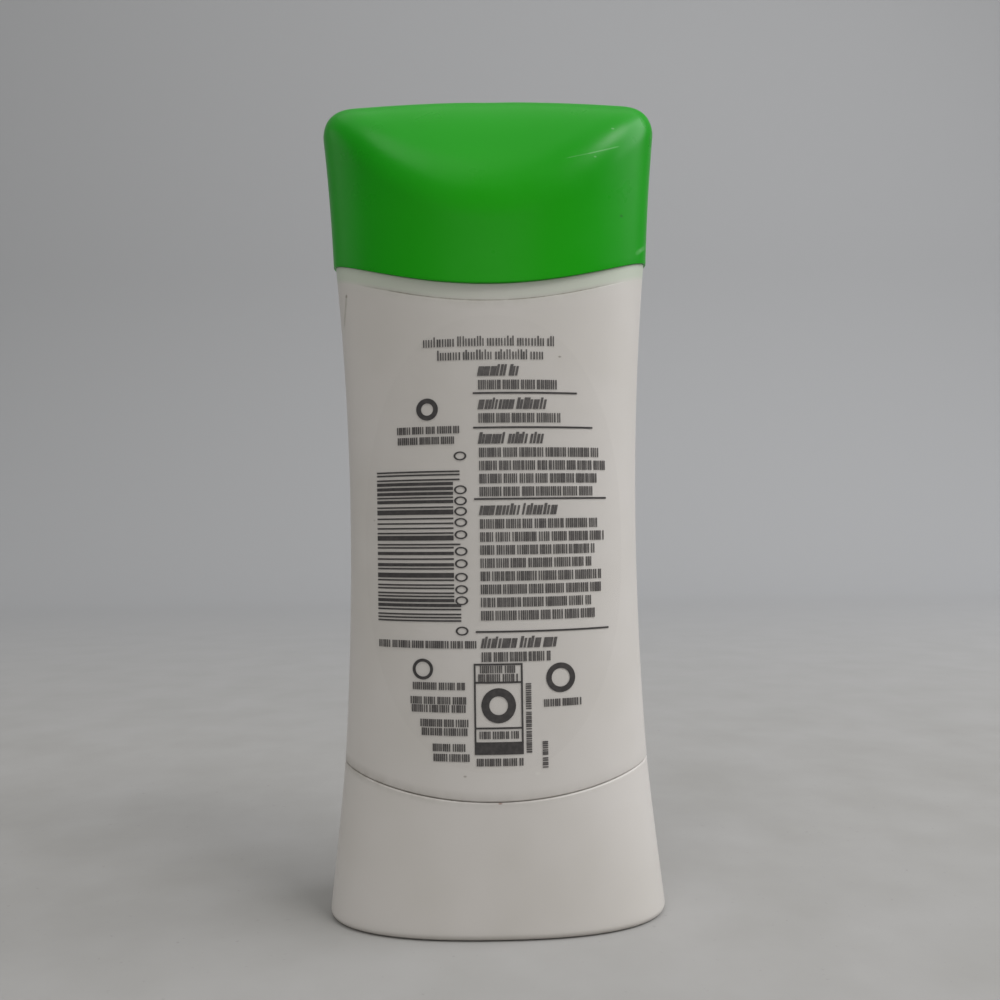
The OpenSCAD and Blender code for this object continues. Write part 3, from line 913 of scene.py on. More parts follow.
@dataclass
class Cap:
    """Push-on cap: an oval cup with an arched roof."""

    form: PackForm
    wall: float = 1.4
    corner_r: float = 5.0
    roof_drop: float = 20.0
    roof_fall: float = 1.6
    arch_power: float = 1.7
    edge: float = 0.12
    levels: int = 20
    corner_steps: int = 14
    roof_steps: int = 26
    # Painted warmer light in the middle of the broad walls: half its width, height where it starts to fade,
    # rise over which it fades, and share left above.
    lit_half: float = 24.0
    lit_low: float = 118.0
    lit_rise: float = 12.0
    lit_top: float = 0.45

    def roof_z(self, share: float, turn: float, inset: float) -> float:
        """Height of the roof.

        Args:
            share: Share of the way from the axis to the roof's edge.
            turn: Angle round the axis.
            inset: Distance inside the outer skin.

        Returns:
            The height, in millimetres.
        """
        fall = (self.roof_drop - inset) * math.sin(turn) ** 2 + self.roof_fall * math.cos(turn) ** 2
        return self.form.height - inset - fall * share ** self.arch_power

    def point(self, z: float, share: float, turn: float, inset: float) -> Vector:
        """Point on the skin at a height and a share of the way out."""
        section = self.form.cap_at(min(z, self.roof_z(1.0, turn, inset)))
        return section.point(turn, z, inset, share)

    def skin(self, inset: float) -> list[Ring]:
        """Rings of one skin of the cap, from its edge to just short of its crest.

        Args:
            inset: Distance inside the outer skin.

        Returns:
            The rings.
        """
        radius = self.corner_r - inset
        inner = 1 - radius / (self.form.cap_full.width / 2 - inset)

        def top(turn: float) -> float:
            """Height at which the wall turns into the corner."""
            return self.roof_z(1.0, turn, inset) - radius

        def wall(k: int) -> Ring:
            """Ring of the wall, counted from the cap's edge."""
            return lambda turn: self.point(mix(self.form.cap_edge_z(turn), top(turn), k / self.levels),
                                           1.0, turn, inset)

        def corner(u: float) -> Ring:
            """Ring of the corner, at a share of the way from the wall to the roof."""
            def at(turn: float) -> Vector:
                """Point on a parabola that leaves the wall and meets the roof smoothly."""
                z = ((1 - u) ** 2 * top(turn) + 2 * u * (1 - u) * self.roof_z(1.0, turn, inset)
                     + u * u * self.roof_z(inner, turn, inset))
                return self.point(z, 1 - (1 - inner) * u * u, turn, inset)
            return at

        def roof(share: float) -> Ring:
            """Ring of the roof, at a share of the way out."""
            return lambda turn: self.point(self.roof_z(share, turn, inset), share, turn, inset)

        return ([wall(k) for k in range(self.levels + 1)]
                + [corner(k / self.corner_steps) for k in range(1, self.corner_steps + 1)]
                + [roof(inner * (1 - k / self.roof_steps)) for k in range(1, self.roof_steps)])

    def rings(self) -> list[Ring]:
        """Rings from the inner crest down the inside and up the outside to the outer crest.

        Returns:
            The rings, with a pole at each end.
        """
        inside, outside = self.skin(self.wall), self.skin(0.0)
        lip = [self.lip(*step) for step in rounded(self.edge, 4)]
        return ([pole(self.form.height - self.wall)] + inside[::-1] + lip + outside[1:]
                + [pole(self.form.height)])

    def lip(self, up: float, inset: float) -> Ring:
        """Ring of the rounding at the cap's lower outer edge, at a height above it."""
        return lambda turn: self.point(self.form.cap_edge_z(turn) + up, 1.0, turn, inset)

    def build(self, finish: bpy.types.Material) -> bpy.types.Object:
        """Build and dress the cap.

        Args:
            finish: Its material.

        Returns:
            The piece.
        """
        piece = finished("arched_cap", loft(self.rings(), closed=False), Body.CAP, Slot.GREEN, finish, "cap")
        # Mark where the painted warmer light lies in the middle of the broad walls.
        mark(piece, "painted_light", self.painted_light)
        return piece

    def painted_light(self, point: Vector) -> float:
        """Share of painted warmer, lighter green in the middle of the broad walls, standing in for light let
        through and back.

        Args:
            point: Place, in millimetres.

        Returns:
            A share of the painted light's colour.
        """
        middle = max(0.0, 1 - (point.x / self.lit_half) ** 2)
        return middle * mix(1.0, self.lit_top, max(0.0, min(1.0, (point.z - self.lit_low) / self.lit_rise)))


@dataclass
class WheelAndScrew:
    """Hand wheel, hub, collars and left-hand screw, moulded as one."""

    wheel_r: float = 11.6
    rib: float = 0.5
    ribs: int = 40
    wheel_z: float = 1.2
    wheel_h: float = 9.6
    wheel_t: float = 1.5
    edge: float = 0.5
    hub_r: float = 4.5
    collar_r: float = 5.8
    collar_t: float = 1.3
    collar_gap: float = 0.15
    deck_h: float = 13.0
    deck_t: float = 1.6
    core_r: float = 2.6
    thread_r: float = 3.7
    thread_z: float = 31.0
    lead: float = 6.0
    turns: int = 14
    root: float = 1.8
    crest: float = 1.0
    tip: float = 0.4
    eye_r: float = 1.0
    eye_share: float = 0.55

    def ribbed(self, radius: float, z: float) -> Ring:
        """Ring round the wheel that rises and falls over its finger ribs.

        Args:
            radius: Radius over the ribs.
            z: Height.

        Returns:
            The ring.
        """
        def at(turn: float) -> Vector:
            """Point that sinks between two ribs."""
            wave = self.rib * (0.5 - 0.5 * math.cos(self.ribs * turn)) ** 1.5
            return Vector(((radius - wave) * math.cos(turn), (radius - wave) * math.sin(turn), z))
        return at

    def rings(self) -> list[Ring]:
        """Rings from the middle of the wheel's face, over its rim, up the hub and the core.

        Returns:
            The rings, with a pole at each end.
        """
        low, high = self.wheel_z, self.wheel_z + self.wheel_h
        cup_r = self.wheel_r - self.rib - self.wheel_t
        under, over = self.deck_h - self.collar_gap, self.deck_h + self.deck_t + self.collar_gap
        end = self.thread_z + (self.turns + 0.5) * self.lead
        rings = [pole(low), circle(self.eye_r, low), circle(cup_r * self.eye_share, low), circle(cup_r, low)]
        rings += [self.ribbed(self.wheel_r - inset, low + up) for up, inset in rounded(self.edge, 4)]
        rings += [self.ribbed(self.wheel_r, mix(low + self.edge, high - self.edge, k / 4))
                  for k in range(1, 4)]
        rings += [self.ribbed(self.wheel_r - inset, high - drop) for inset, drop in rounded(self.edge, 4)]
        # The cup behind the face, the hub between its collars, then the core of the screw.
        rings += [circle(cup_r, high), circle(cup_r, low + self.wheel_t),
                  circle(self.hub_r, low + self.wheel_t), circle(self.hub_r, under - self.collar_t),
                  circle(self.collar_r, under - self.collar_t), circle(self.collar_r, under),
                  circle(self.hub_r, under), circle(self.hub_r, over), circle(self.collar_r, over),
                  circle(self.hub_r, over + self.collar_t), circle(self.core_r, over + self.collar_t),
                  circle(self.core_r, end - self.tip), circle(self.core_r - self.tip, end), pole(end)]
        return rings

    def build(self, finish: bpy.types.Material) -> bpy.types.Object:
        """Build and dress the wheel and screw.

        Args:
            finish: Their material.

        Returns:
            The piece.
        """
        inner = self.core_r - self.tip
        section = [(inner, -self.root / 2), (self.thread_r, -self.crest / 2),
                   (self.thread_r, self.crest / 2), (inner, self.root / 2)]
        thread = helix(section, self.thread_z, self.lead, self.turns)
        body = loft(self.rings(), closed=False, segments=self.ribs * 10)
        return finished("wheel_and_screw", join(body, thread), Body.DIAL, Slot.WHITE, finish, "dial_screw")


@dataclass
class Elevator:
    """Platform that lifts the stick, with its wiping skirt, its nut and its anchoring ribs."""

    bore: Oval
    fit: float = 0.3
    bottom: float = 28.0
    platform_t: float = 1.6
    skirt_h: float = 4.0
    skirt_t: float = 0.8
    nut_r: float = 6.2
    nut_h: float = 17.0
    nut_bore_r: float = 3.9
    anchor_x: float = 17.0
    anchor_h: float = 9.0
    anchor_t: float = 1.4
    edge: float = 0.2
    nut_edge: float = 0.3
    overlap: float = 0.4

    def rings(self) -> list[Ring]:
        """Rings of the platform, its skirt and its nut, from the nut's bore round the outside.

        Returns:
            The rings, as a closed line.
        """
        low, edge = self.bottom, self.edge
        top, brim = low + self.platform_t, low + self.platform_t + self.skirt_h
        outer, inner, nut_top = self.fit, self.fit + self.skirt_t, low + self.nut_h

        def oval(inset: float, z: float) -> Ring:
            """Level ring inside the bore."""
            return lambda turn: self.bore.point(turn, z, inset)

        return [circle(self.nut_bore_r, low), oval(outer + edge, low), oval(outer, low + edge),
                oval(outer, brim - edge), oval(outer + edge, brim), oval(inner, brim), oval(inner, top),
                circle(self.nut_r, top), circle(self.nut_r, nut_top - self.nut_edge),
                circle(self.nut_r - self.nut_edge, nut_top), circle(self.nut_bore_r, nut_top)]

    def build(self, finish: bpy.types.Material) -> bpy.types.Object:
        """Build and dress the elevator.

        Args:
            finish: Its material.

        Returns:
            The piece.
        """
        level, top = self.bottom + self.platform_t / 2, self.bottom + self.platform_t + self.anchor_h
        half, root = self.anchor_t / 2, self.nut_r - self.overlap
        ribs = [box(Vector((x0, -half, level)), Vector((x1, half, top)), self.edge)
                for x0, x1 in ((-self.anchor_x, -root), (root, self.anchor_x))]
        body = loft(self.rings(), closed=True)
        return finished("elevator_platform", join(body, *ribs), Body.CARRIAGE, Slot.WHITE, finish, "elevator")


@dataclass
class Stick:
    """Domed stick, cast on the elevator round its nut and the screw."""

    bore: Oval
    side: float = 0.35
    foot: float = 1.2
    low: float = 29.7
    step: float = 33.7
    crest: float = 134.0
    drop: float = 12.0
    fall: float = 5.0
    arch_power: float = 1.7
    edge: float = 0.3
    nut_r: float = 6.3
    nut_top: float = 45.1
    screw_r: float = 3.9
    hollow_top: float = 120.0
    wall_steps: int = 10
    dome_steps: int = 30

    def dome_z(self, share: float, turn: float) -> float:
        """Height of the dome at a share of the way out."""
        fall = self.drop * math.sin(turn) ** 2 + self.fall * math.cos(turn) ** 2
        return self.crest - fall * share ** self.arch_power

    def rings(self) -> list[Ring]:
        """Rings from the top of the hollow, down it, and up the outside to the crest.

        Returns:
            The rings, with a pole at each end.
        """
        def oval(inset: float, z: float) -> Ring:
            """Level ring inside the bore."""
            return lambda turn: self.bore.point(turn, z, inset)

        def wall(share: float) -> Ring:
            """Ring of the wall, at a share of the way from the step to the dome."""
            return lambda turn: self.bore.point(
                turn, mix(self.step, self.dome_z(1.0, turn) - self.edge, share), self.side)

        def dome(share: float) -> Ring:
            """Ring of the dome, at a share of the way out."""
            return lambda turn: self.bore.point(turn, self.dome_z(share, turn), self.side, share)

        rings = [pole(self.hollow_top), circle(self.screw_r, self.hollow_top),
                 circle(self.screw_r, self.nut_top), circle(self.nut_r, self.nut_top),
                 circle(self.nut_r, self.low), oval(self.foot, self.low), oval(self.foot, self.step),
                 oval(self.side, self.step)]
        rings += [wall(k / self.wall_steps) for k in range(1, self.wall_steps + 1)]
        rings += [dome(math.sin(math.pi / 2 * (1 - k / self.dome_steps))) for k in range(1, self.dome_steps)]
        return rings + [pole(self.crest)]

    def build(self, finish: bpy.types.Material) -> bpy.types.Object:
        """Build and dress the stick."""
        gel = loft(self.rings(), closed=False)
        return finished("poured_stick", gel, Body.CARRIAGE, Slot.STICK, finish, "deodorant_stick")


@dataclass
class FilmLabel:
    """Clear film label with an upright, rounded outline, laid on the barrel."""

    form: PackForm
    width: float = 43.0
    low: float = 26.4
    high: float = 100.3
    power: float = 2.3
    reach: float = 0.999
    off: float = 0.02
    thick: float = 0.03
    columns: int = 48
    rows: int = 72

    def outline(self, u: float, v: float) -> tuple[float, float]:
        """Lay a square on the label.

        Args:
            u: Place across, from -1 to 1.
            v: Place up, from -1 to 1.

        Returns:
            Distance right of the axis and height, in millimetres.
        """
        # It stops just short of the two tips, where the outline would close to a point.
        level = self.reach * math.sin(v * math.pi / 2)
        half = self.width / 2 * (1 - abs(level) ** self.power) ** (1 / self.power)
        return u * half, mix(self.low, self.high, (level + 1) / 2)

    def build(self, name: str, node: str, front: bool, finish: bpy.types.Material) -> bpy.types.Object:
        """Build and dress the label.

        Args:
            name: Name of the piece.
            node: Node that it stands for.
            front: Whether it lies on the far side of the pack.
            finish: Its material.

        Returns:
            The piece.
        """
        bm = bmesh.new()
        bmesh.ops.create_grid(bm, x_segments=self.columns, y_segments=self.rows, size=1.0)
        for vert in bm.verts:
            vert.co = self.form.on_barrel(*self.outline(vert.co.x, vert.co.y), self.off) * MM
        bmesh.ops.recalc_face_normals(bm, faces=bm.faces)
        if sum(face.normal.y for face in bm.faces) > 0:
            bmesh.ops.reverse_faces(bm, faces=bm.faces)
        bmesh.ops.solidify(bm, geom=bm.faces[:], thickness=-self.thick * MM)
        if front:
            bmesh.ops.rotate(bm, verts=bm.verts, cent=(0, 0, 0), matrix=Matrix.Rotation(math.pi, 3, "Z"))
        return finished(name, bm, Body.CONTAINER, Slot.FILM, finish, node)


class Row(NamedTuple):
    """Row of plain strokes: where it starts and ends, its height and the make of its strokes.

    A slanted stroke leans right by a share of its height. One stroke in four rises over the others by another
    share.
    """

    left: float
    right: float
    z: float
    tall: float
    weight: float = 0.235
    pitch: float = 0.34
    slant: float = 0.0
    rise: float = 0.0


@dataclass
class BackPrint:
    """Print on the back label: bars, rules, rings and rows of strokes, drawn flat and laid on the barrel.

    Lengths are in millimetres, and heights are measured from the middle of the label.
    """

    form: PackForm
    off: float = 0.06
    thick: float = 0.02
    shift: float = -0.6
    middle: float = 63.6
    bars_x: float = -18.7
    bars_w: float = 12.8
    bars_low: float = -12.9
    bars_h: float = 25.0
    bar_unit: float = 0.264
    bar_long: float = 1.1
    bar_sizes: tuple[int, ...] = (1, 1, 1, 1, 2, 2, 3)
    gap_sizes: tuple[int, ...] = (1, 1, 1, 2, 2)
    long_end: float = 10.0
    beads: tuple[float, ...] = (-14.4, -9.5, -7.7, -5.7, -3.5, -1.5, 1.2, 3.2, 5.0, 6.7, 8.5, 14.0)
    bead_x: float = -4.7
    # Width, height and line of a bead.
    bead: tuple[float, float, float] = (2.1, 1.45, 0.32)
    column_x: float = -2.5
    indent: float = 0.9
    rule: float = 0.3
    rule_up: float = 1.85
    row_pitch: float = 2.12
    heavy_pitch: float = 2.2
    row_h: float = 1.55
    small_h: float = 1.2
    heavy_h: float = 1.55
    top_h: float = 1.25
    # Left, right, lower and upper side of the framed panel.
    panel: tuple[float, float, float, float] = (-2.9, 5.0, -34.2, -19.8)
    panel_foot: float = 2.0
    dividers: tuple[float, float] = (-30.0, -22.7)
    # Place, outer radius and line of each ring.
    rings: tuple[tuple[float, float, float, float], ...] = (
        (1.05, -26.4, 2.8, 1.3), (-10.0, 21.7, 1.8, 0.8), (11.2, -22.2, 2.4, 0.9), (-11.2, -20.6, 1.7, 0.5))
    # Height and end of each block's heavy row, number and end of its plain rows, and end of its rule, if any.
    blocks: tuple[tuple[float, float, int, float, float], ...] = (
        (27.7, 4.6, 1, 11.4, 0.0), (22.3, 9.6, 1, 11.8, 14.6), (16.7, 8.6, 4, 18.2, 17.2),
        (5.1, 11.0, 8, 17.6, 19.4), (-16.4, 10.4, 1, 9.6, 19.5))
    ragged: float = 1.2
    # Start, end and height of the rows outside the column.
    top_rows: tuple[Triple, ...] = ((-10.5, 10.9, 32.4), (-8.2, 9.1, 30.2))
    small_rows: tuple[Triple, ...] = (
        (-15.1, -4.9, 18.3), (-15.0, -5.4, 16.6), (-18.6, -2.4, -16.6), (-12.9, -4.4, -23.3),
        (-13.3, -4.2, -25.6), (-13.1, -4.4, -26.9), (-11.7, -4.0, -29.2), (-11.5, -3.9, -30.6),
        (-9.7, -4.3, -33.1), (-9.6, -3.9, -34.7), (8.4, 14.4, -26.2), (-2.6, 4.8, -35.4),
        (-1.9, 3.9, -20.6), (-2.2, 4.2, -21.95), (-2.1, 4.1, -31.1))
    # Distance right of the axis, lower end and upper end of the upright rows.
    upright_rows: tuple[Triple, ...] = ((5.9, -34.0, -22.6), (8.5, -36.5, -32.3))
    upright_h: float = 0.9
    group: tuple[int, int] = (5, 12)
    group_gap: float = 0.7
    risers: float = 0.25
    weight_span: tuple[float, float] = (0.8, 1.25)
    pitch_span: tuple[float, float] = (0.85, 1.15)
    reach: int = 20
    rng: random.Random = field(default_factory=lambda: random.Random(7))

    def bar(self, bm: bmesh.types.BMesh, x0: float, x1: float, z0: float, z1: float, lean: float = 0.0,
            turned: Matrix | None = None) -> None:
        """Add an upright bar to a flat drawing.

        Args:
            bm: Flat drawing, in millimetres, with height as Z.
            x0: Left end.
            x1: Right end.
            z0: Lower end, above the label's middle.
            z1: Upper end.
            lean: How far its upper end stands to the right of its lower end.
            turned: Turn and place of the row that it stands in.
        """
        shear = Matrix.Identity(4)
        shear[0][2] = lean / (z1 - z0)
        place = Matrix.Translation(((x0 + x1) / 2, 0.0, (z0 + z1) / 2)) @ shear
        size = Matrix.Diagonal((x1 - x0, 1.0, z1 - z0, 1.0)) @ Matrix.Rotation(math.pi / 2, 4, "X")
        base = Matrix.Translation((0, 0, self.middle)) @ (turned or Matrix.Identity(4))
        bmesh.ops.create_grid(bm, x_segments=1, y_segments=1, size=0.5, matrix=base @ place @ size)

    def hoop(self, bm: bmesh.types.BMesh, x: float, z: float, radius: float, line: float,
             squash: float = 1.0) -> None:
        """Add a plain ring.

        Args:
            bm: Flat drawing.
            x: Distance right of the axis.
            z: Height above the label's middle.
            radius: Outer radius.
            line: Width of its line.
            squash: Height over width.
        """
        place = Matrix.Translation((x, 0, self.middle + z)) @ Matrix.Diagonal((1, 1, squash, 1))
        upright = place @ Matrix.Rotation(math.pi / 2, 4, "X")
        inner = bmesh.ops.create_circle(bm, segments=32, radius=radius - line, matrix=upright)["verts"]
        edges = list(dict.fromkeys(edge for vert in inner for edge in vert.link_edges))
        grown = bmesh.ops.extrude_edge_only(bm, edges=edges)["geom"]
        outer = [part for part in grown if isinstance(part, bmesh.types.BMVert)]
        share = radius / (radius - line)
        bmesh.ops.scale(bm, vec=(share, 1, share), space=place.inverted(), verts=outer)

    def strokes(self, bm: bmesh.types.BMesh, row: Row, turned: Matrix | None = None) -> None:
        """Add a row of plain strokes, in groups of mixed length.

        Args:
            bm: Flat drawing.
            row: The row.
            turned: Turn and place of the row.
        """
        pick = self.rng
        x, left_over = row.left, pick.randint(*self.group)
        low = row.z - row.tall / 2
        while x < row.right:
            tall = row.tall * (1 + row.rise if pick.random() < self.risers else 1.0)
            end = x + row.weight * pick.uniform(*self.weight_span)
            self.bar(bm, x, end, low, low + tall, row.slant * tall, turned)
            x += row.pitch * pick.uniform(*self.pitch_span)
            left_over -= 1
            if left_over == 0:
                left_over = pick.randint(*self.group)
                x += row.pitch * self.group_gap

    def lay(self, bm: bmesh.types.BMesh, name: str, slot: Slot, node: str,
            finish: bpy.types.Material) -> bpy.types.Object:
        """Cut a flat drawing into narrow strips and lay it on the barrel.

        Args:
            bm: Flat drawing; it is freed.
            name: Name of the piece.
            slot: Its material slot.
            node: Node that it stands for.
            finish: Its material.

        Returns:
            The piece.
        """
        for x in range(-self.reach, self.reach + 1):
            bmesh.ops.bisect_plane(bm, geom=bm.verts[:] + bm.edges[:] + bm.faces[:], plane_co=(x, 0, 0),
                                   plane_no=(1, 0, 0))
        for vert in bm.verts:
            vert.co = self.form.on_barrel(vert.co.x + self.shift, vert.co.z, self.off) * MM
        bm.normal_update()
        bmesh.ops.reverse_faces(bm, faces=[face for face in bm.faces if face.normal.y > 0])
        bmesh.ops.solidify(bm, geom=bm.faces[:], thickness=-self.thick * MM)
        return finished(name, bm, Body.CONTAINER, slot, finish, node)

    def build_bars(self, finish: bpy.types.Material) -> bpy.types.Object:
        """Build the block of bars, of mixed widths, and the column of plain beads beside it.

        Args:
            finish: Their material.

        Returns:
            The piece.
        """
        bm = bmesh.new()
        low, top = self.bars_low, self.bars_low + self.bars_h
        z = low
        while z < top - self.bar_unit:
            tall = min(self.bar_unit * self.rng.choice(self.bar_sizes), top - z)
            # The bars at both ends and in the very middle are longer.
            inward, off_middle = min(z - low, top - z), abs(z - (low + top) / 2)
            long_one = inward < self.long_end * self.bar_unit or off_middle < 2 * self.bar_unit
            end = self.bars_x + self.bars_w + (self.bar_long if long_one else 0.0)
            self.bar(bm, self.bars_x, end, z, z + tall)
            z += tall + self.bar_unit * self.rng.choice(self.gap_sizes)
        wide, tall, line = self.bead
        for level in self.beads:
            self.hoop(bm, self.bead_x, level, wide / 2, line, tall / wide)
        return self.lay(bm, "printed_bars", Slot.DARK, "print_bars", finish)

    def build_rules(self, finish: bpy.types.Material) -> bpy.types.Object:
        """Build the rules, the framed panel and the plain rings.

        Args:
            finish: Their material.

        Returns:
            The piece.
        """
        bm = bmesh.new()
        half = self.rule / 2
        for z, _, _, _, end in self.blocks:
            if end:
                self.bar(bm, self.column_x, end, z + self.rule_up - half, z + self.rule_up + half)
        left, right, low, high = self.panel
        for z in (*self.dividers, high):
            self.bar(bm, left, right, z - half, z + half)
        self.bar(bm, left, right, low, low + self.panel_foot)
        for x in (left, right - self.rule):
            self.bar(bm, x, x + self.rule, low + self.panel_foot, high)
        for ring in self.rings:
            self.hoop(bm, *ring)
        return self.lay(bm, "printed_rules", Slot.DARK, "print_lines", finish)

    def rows(self) -> list[Row]:
        """Level rows of strokes, with the column's heavy and plain rows worked out from its blocks.

        Returns:
            The rows.
        """
        start = self.column_x + self.indent
        rows = [Row(*ends, self.top_h, weight=0.23, pitch=0.45, rise=0.3) for ends in self.top_rows]
        for z, heavy_end, count, row_end, _ in self.blocks:
            rows.append(Row(start, heavy_end, z, self.heavy_h, weight=0.42, pitch=0.55, slant=0.2, rise=0.2))
            # The ends of the plain rows are ragged.
            rows += [Row(start, row_end + self.ragged * math.sin(math.radians(100 * k)),
                         z - self.heavy_pitch - k * self.row_pitch, self.row_h) for k in range(count)]
        return rows + [Row(*ends, self.small_h) for ends in self.small_rows]

    def build_rows(self, finish: bpy.types.Material) -> bpy.types.Object:
        """Build the rows of strokes, two of them turned to run upwards beside the panel.

        Args:
            finish: Their material.

        Returns:
            The piece.
        """
        bm = bmesh.new()
        for row in self.rows():
            self.strokes(bm, row)
        for x, low, high in self.upright_rows:
            upright = Matrix.Translation((x, 0, low)) @ Matrix.Rotation(-math.pi / 2, 4, "Y")
            self.strokes(bm, Row(0.0, high - low, 0.0, self.upright_h), upright)
        return self.lay(bm, "printed_rows", Slot.GREY, "print_rows", finish)


# The studio


@dataclass(frozen=True)
class Lamp:
    """Soft rectangular lamp, in metres and watts."""

    name: str
    place: Triple
    aim: Triple
    size: tuple[float, float]
    power: float
    colour: str

    def hang(self) -> bpy.types.Object:
        """Make the lamp.

        Returns:
            The lamp.
        """
        data = bpy.data.lights.new(self.name, "AREA")
        data.shape, data.energy, data.color = "RECTANGLE", self.power, linear(self.colour)[:3]
        data.size, data.size_y = self.size
        lamp = bpy.data.objects.new(self.name, data)
        lamp.location = self.place
        lamp.rotation_euler = (Vector(self.aim) - Vector(self.place)).to_track_quat("-Z", "Y").to_euler()
        bpy.context.scene.collection.objects.link(lamp)
        return lamp


@dataclass
class Studio:
    """Pale floor that sweeps up into a backdrop, in metres, soft lamps and the camera.

    The camera's place is in millimetres, and its turns are in degrees.
    """

    half_width: float = 1.6
    front: float = -1.0
    back: float = 0.55
    sweep: float = 0.35
    sweep_steps: int = 24
    high: float = 1.6
    focal_px: float = 938.5
    distance: float = 165.0
    eye_h: float = 67.5
    pitch: float = -1.07
    roll: float = 0.77
    yaw: float = 0.55
    offset: float = 1.23
    image_px: float = 1000.0
    sensor_mm: float = 36.0
    surround: str = "#C5C6C7"
    surround_power: float = 0.58

    def camera(self) -> bpy.types.Object:
        """Set the camera where the photograph was taken from.

        Returns:
            The camera.
        """
        data = bpy.data.cameras.new("camera")
        data.sensor_width = self.sensor_mm
        data.lens = self.focal_px / self.image_px * self.sensor_mm
        data.clip_start, data.clip_end = 0.005, 20.0
        camera = bpy.data.objects.new("camera", data)
        pitch, roll, yaw = (math.radians(a) for a in (self.pitch, self.roll, self.yaw))
        right, forward = Vector((1, 0, 0)), Vector((0, math.cos(pitch), -math.sin(pitch)))
        up = right.cross(forward)
        turned = Matrix.Rotation(-yaw, 3, "Z")
        side = turned @ (right * math.cos(roll) - up * math.sin(roll))
        head = turned @ (right * math.sin(roll) + up * math.cos(roll))
        place = turned @ (Vector((self.offset, -self.distance, self.eye_h)) * MM)
        axes = Matrix((side, head, -(turned @ forward))).transposed().to_4x4()
        camera.matrix_world = Matrix.Translation(place) @ axes
        bpy.context.scene.collection.objects.link(camera)
        bpy.context.scene.camera = camera
        return camera

    def floor(self) -> bpy.types.Object:
        """Build the floor and the backdrop as one swept sheet.

        Returns:
            The sheet.
        """
        bm = bmesh.new()
        left = -self.half_width
        line = [Vector((left, self.front, 0)), Vector((left, self.back, 0))]
        line += [Vector((left, self.back + self.sweep * math.sin(q), self.sweep * (1 - math.cos(q))))
                 for q in quarter(self.sweep_steps)[1:]]
        line.append(Vector((left, self.back + self.sweep, self.high)))
        verts = [bm.verts.new(point) for point in line]
        edges = [bm.edges.new(pair) for pair in zip(verts, verts[1:])]
        swept = bmesh.ops.extrude_edge_only(bm, edges=edges)["geom"]
        moved = [part for part in swept if isinstance(part, bmesh.types.BMVert)]
        bmesh.ops.translate(bm, vec=(2 * self.half_width, 0, 0), verts=moved)
        bmesh.ops.recalc_face_normals(bm, faces=bm.faces)
        mesh = bpy.data.meshes.new("floor_sweep")
        bm.to_mesh(mesh)
        bm.free()
        mesh.shade_smooth()
        sheet = bpy.data.objects.new("floor_sweep", mesh)
        bpy.context.scene.collection.objects.link(sheet)
        mesh.materials.append(self.paper())
        return sheet

    def paper(self) -> bpy.types.Material:
        """Matt pale paper: barely mottled, with small worn specks on the floor, and painted paler away from
        the pack as painted light.

        Returns:
            The material.
        """
        material, tree, shader, place = started("matt_paper")
        # Painted light: the paper is painted paler away from the pack, fading from 8 cm to 60 cm behind it.
        away = add(tree, "ShaderNodeSeparateXYZ", Vector=place).outputs["Y"]
        painted_paler_far = add(tree, "ShaderNodeMapRange", Value=away, From_Min=0.08, From_Max=0.6).outputs["Result"]
        # Pulp clouds some centimetres wide, then worn specks of about a millimetre.
        mottle = blotches(tree, place, 22.0, 5.0, (0.3, 0.7))
        speck = blotches(tree, place, 1.3, 3.0, (0.68, 0.76), (0.0, 0.3))
        colour = layered(tree, linear("#9F9D99"), (mottle, linear("#A6A4A1")), (speck, linear("#7C7A75")),
                         (painted_paler_far, linear("#B2B2B2")))
        tree.links.new(colour, shader.inputs["Base Color"])
        shader.inputs["Roughness"].default_value = 0.85
        shader.inputs["Specular IOR Level"].default_value = 0.2
        return material

    def world(self) -> None:
        """Set an even, dim surrounding."""
        world = bpy.data.worlds.new("surround")
        world.use_nodes = True
        background = world.node_tree.nodes["Background"]
        background.inputs["Color"].default_value = linear(self.surround)
        background.inputs["Strength"].default_value = self.surround_power
        bpy.context.scene.world = world

    def set_up(self) -> None:
        """Set up the floor, the lamps, the surround and the camera."""
        self.floor()
        self.world()
        for lamp in (
            Lamp("key", (0.8, -0.1, 0.75), (0.0, 0.0, 0.08), (0.7, 0.7), 6.6, "#F7F9FF"),
            Lamp("flank", (1.2, 0.0, 0.35), (0.0, 0.0, 0.07), (0.6, 0.4), 0.5, "#FFFFFF"),
            Lamp("spot_right", (0.5, -0.42, 0.95), (0.0, 0.0, 0.1), (0.3, 0.3), 3.0, "#FFFFFF"),
            Lamp("spot_left", (-0.22, -0.5, 1.1), (0.0, 0.0, 0.1), (0.4, 0.4), 1.4, "#FFFFFF"),
            Lamp("front", (0.0, -1.2, 0.3), (0.0, 0.0, 0.08), (0.8, 0.4), 1.0, "#FFFFFF"),
            Lamp("side_left", (-1.0, 0.0, 0.5), (0.0, 0.0, 0.08), (0.6, 0.6), 0.6, "#FFFFFF"),
            Lamp("ceiling", (0.0, 0.1, 1.3), (0.0, 0.1, 0.0), (1.4, 1.0), 2.4, "#FFFFFF"),
        ):
            lamp.hang()
        self.camera()


# Wear


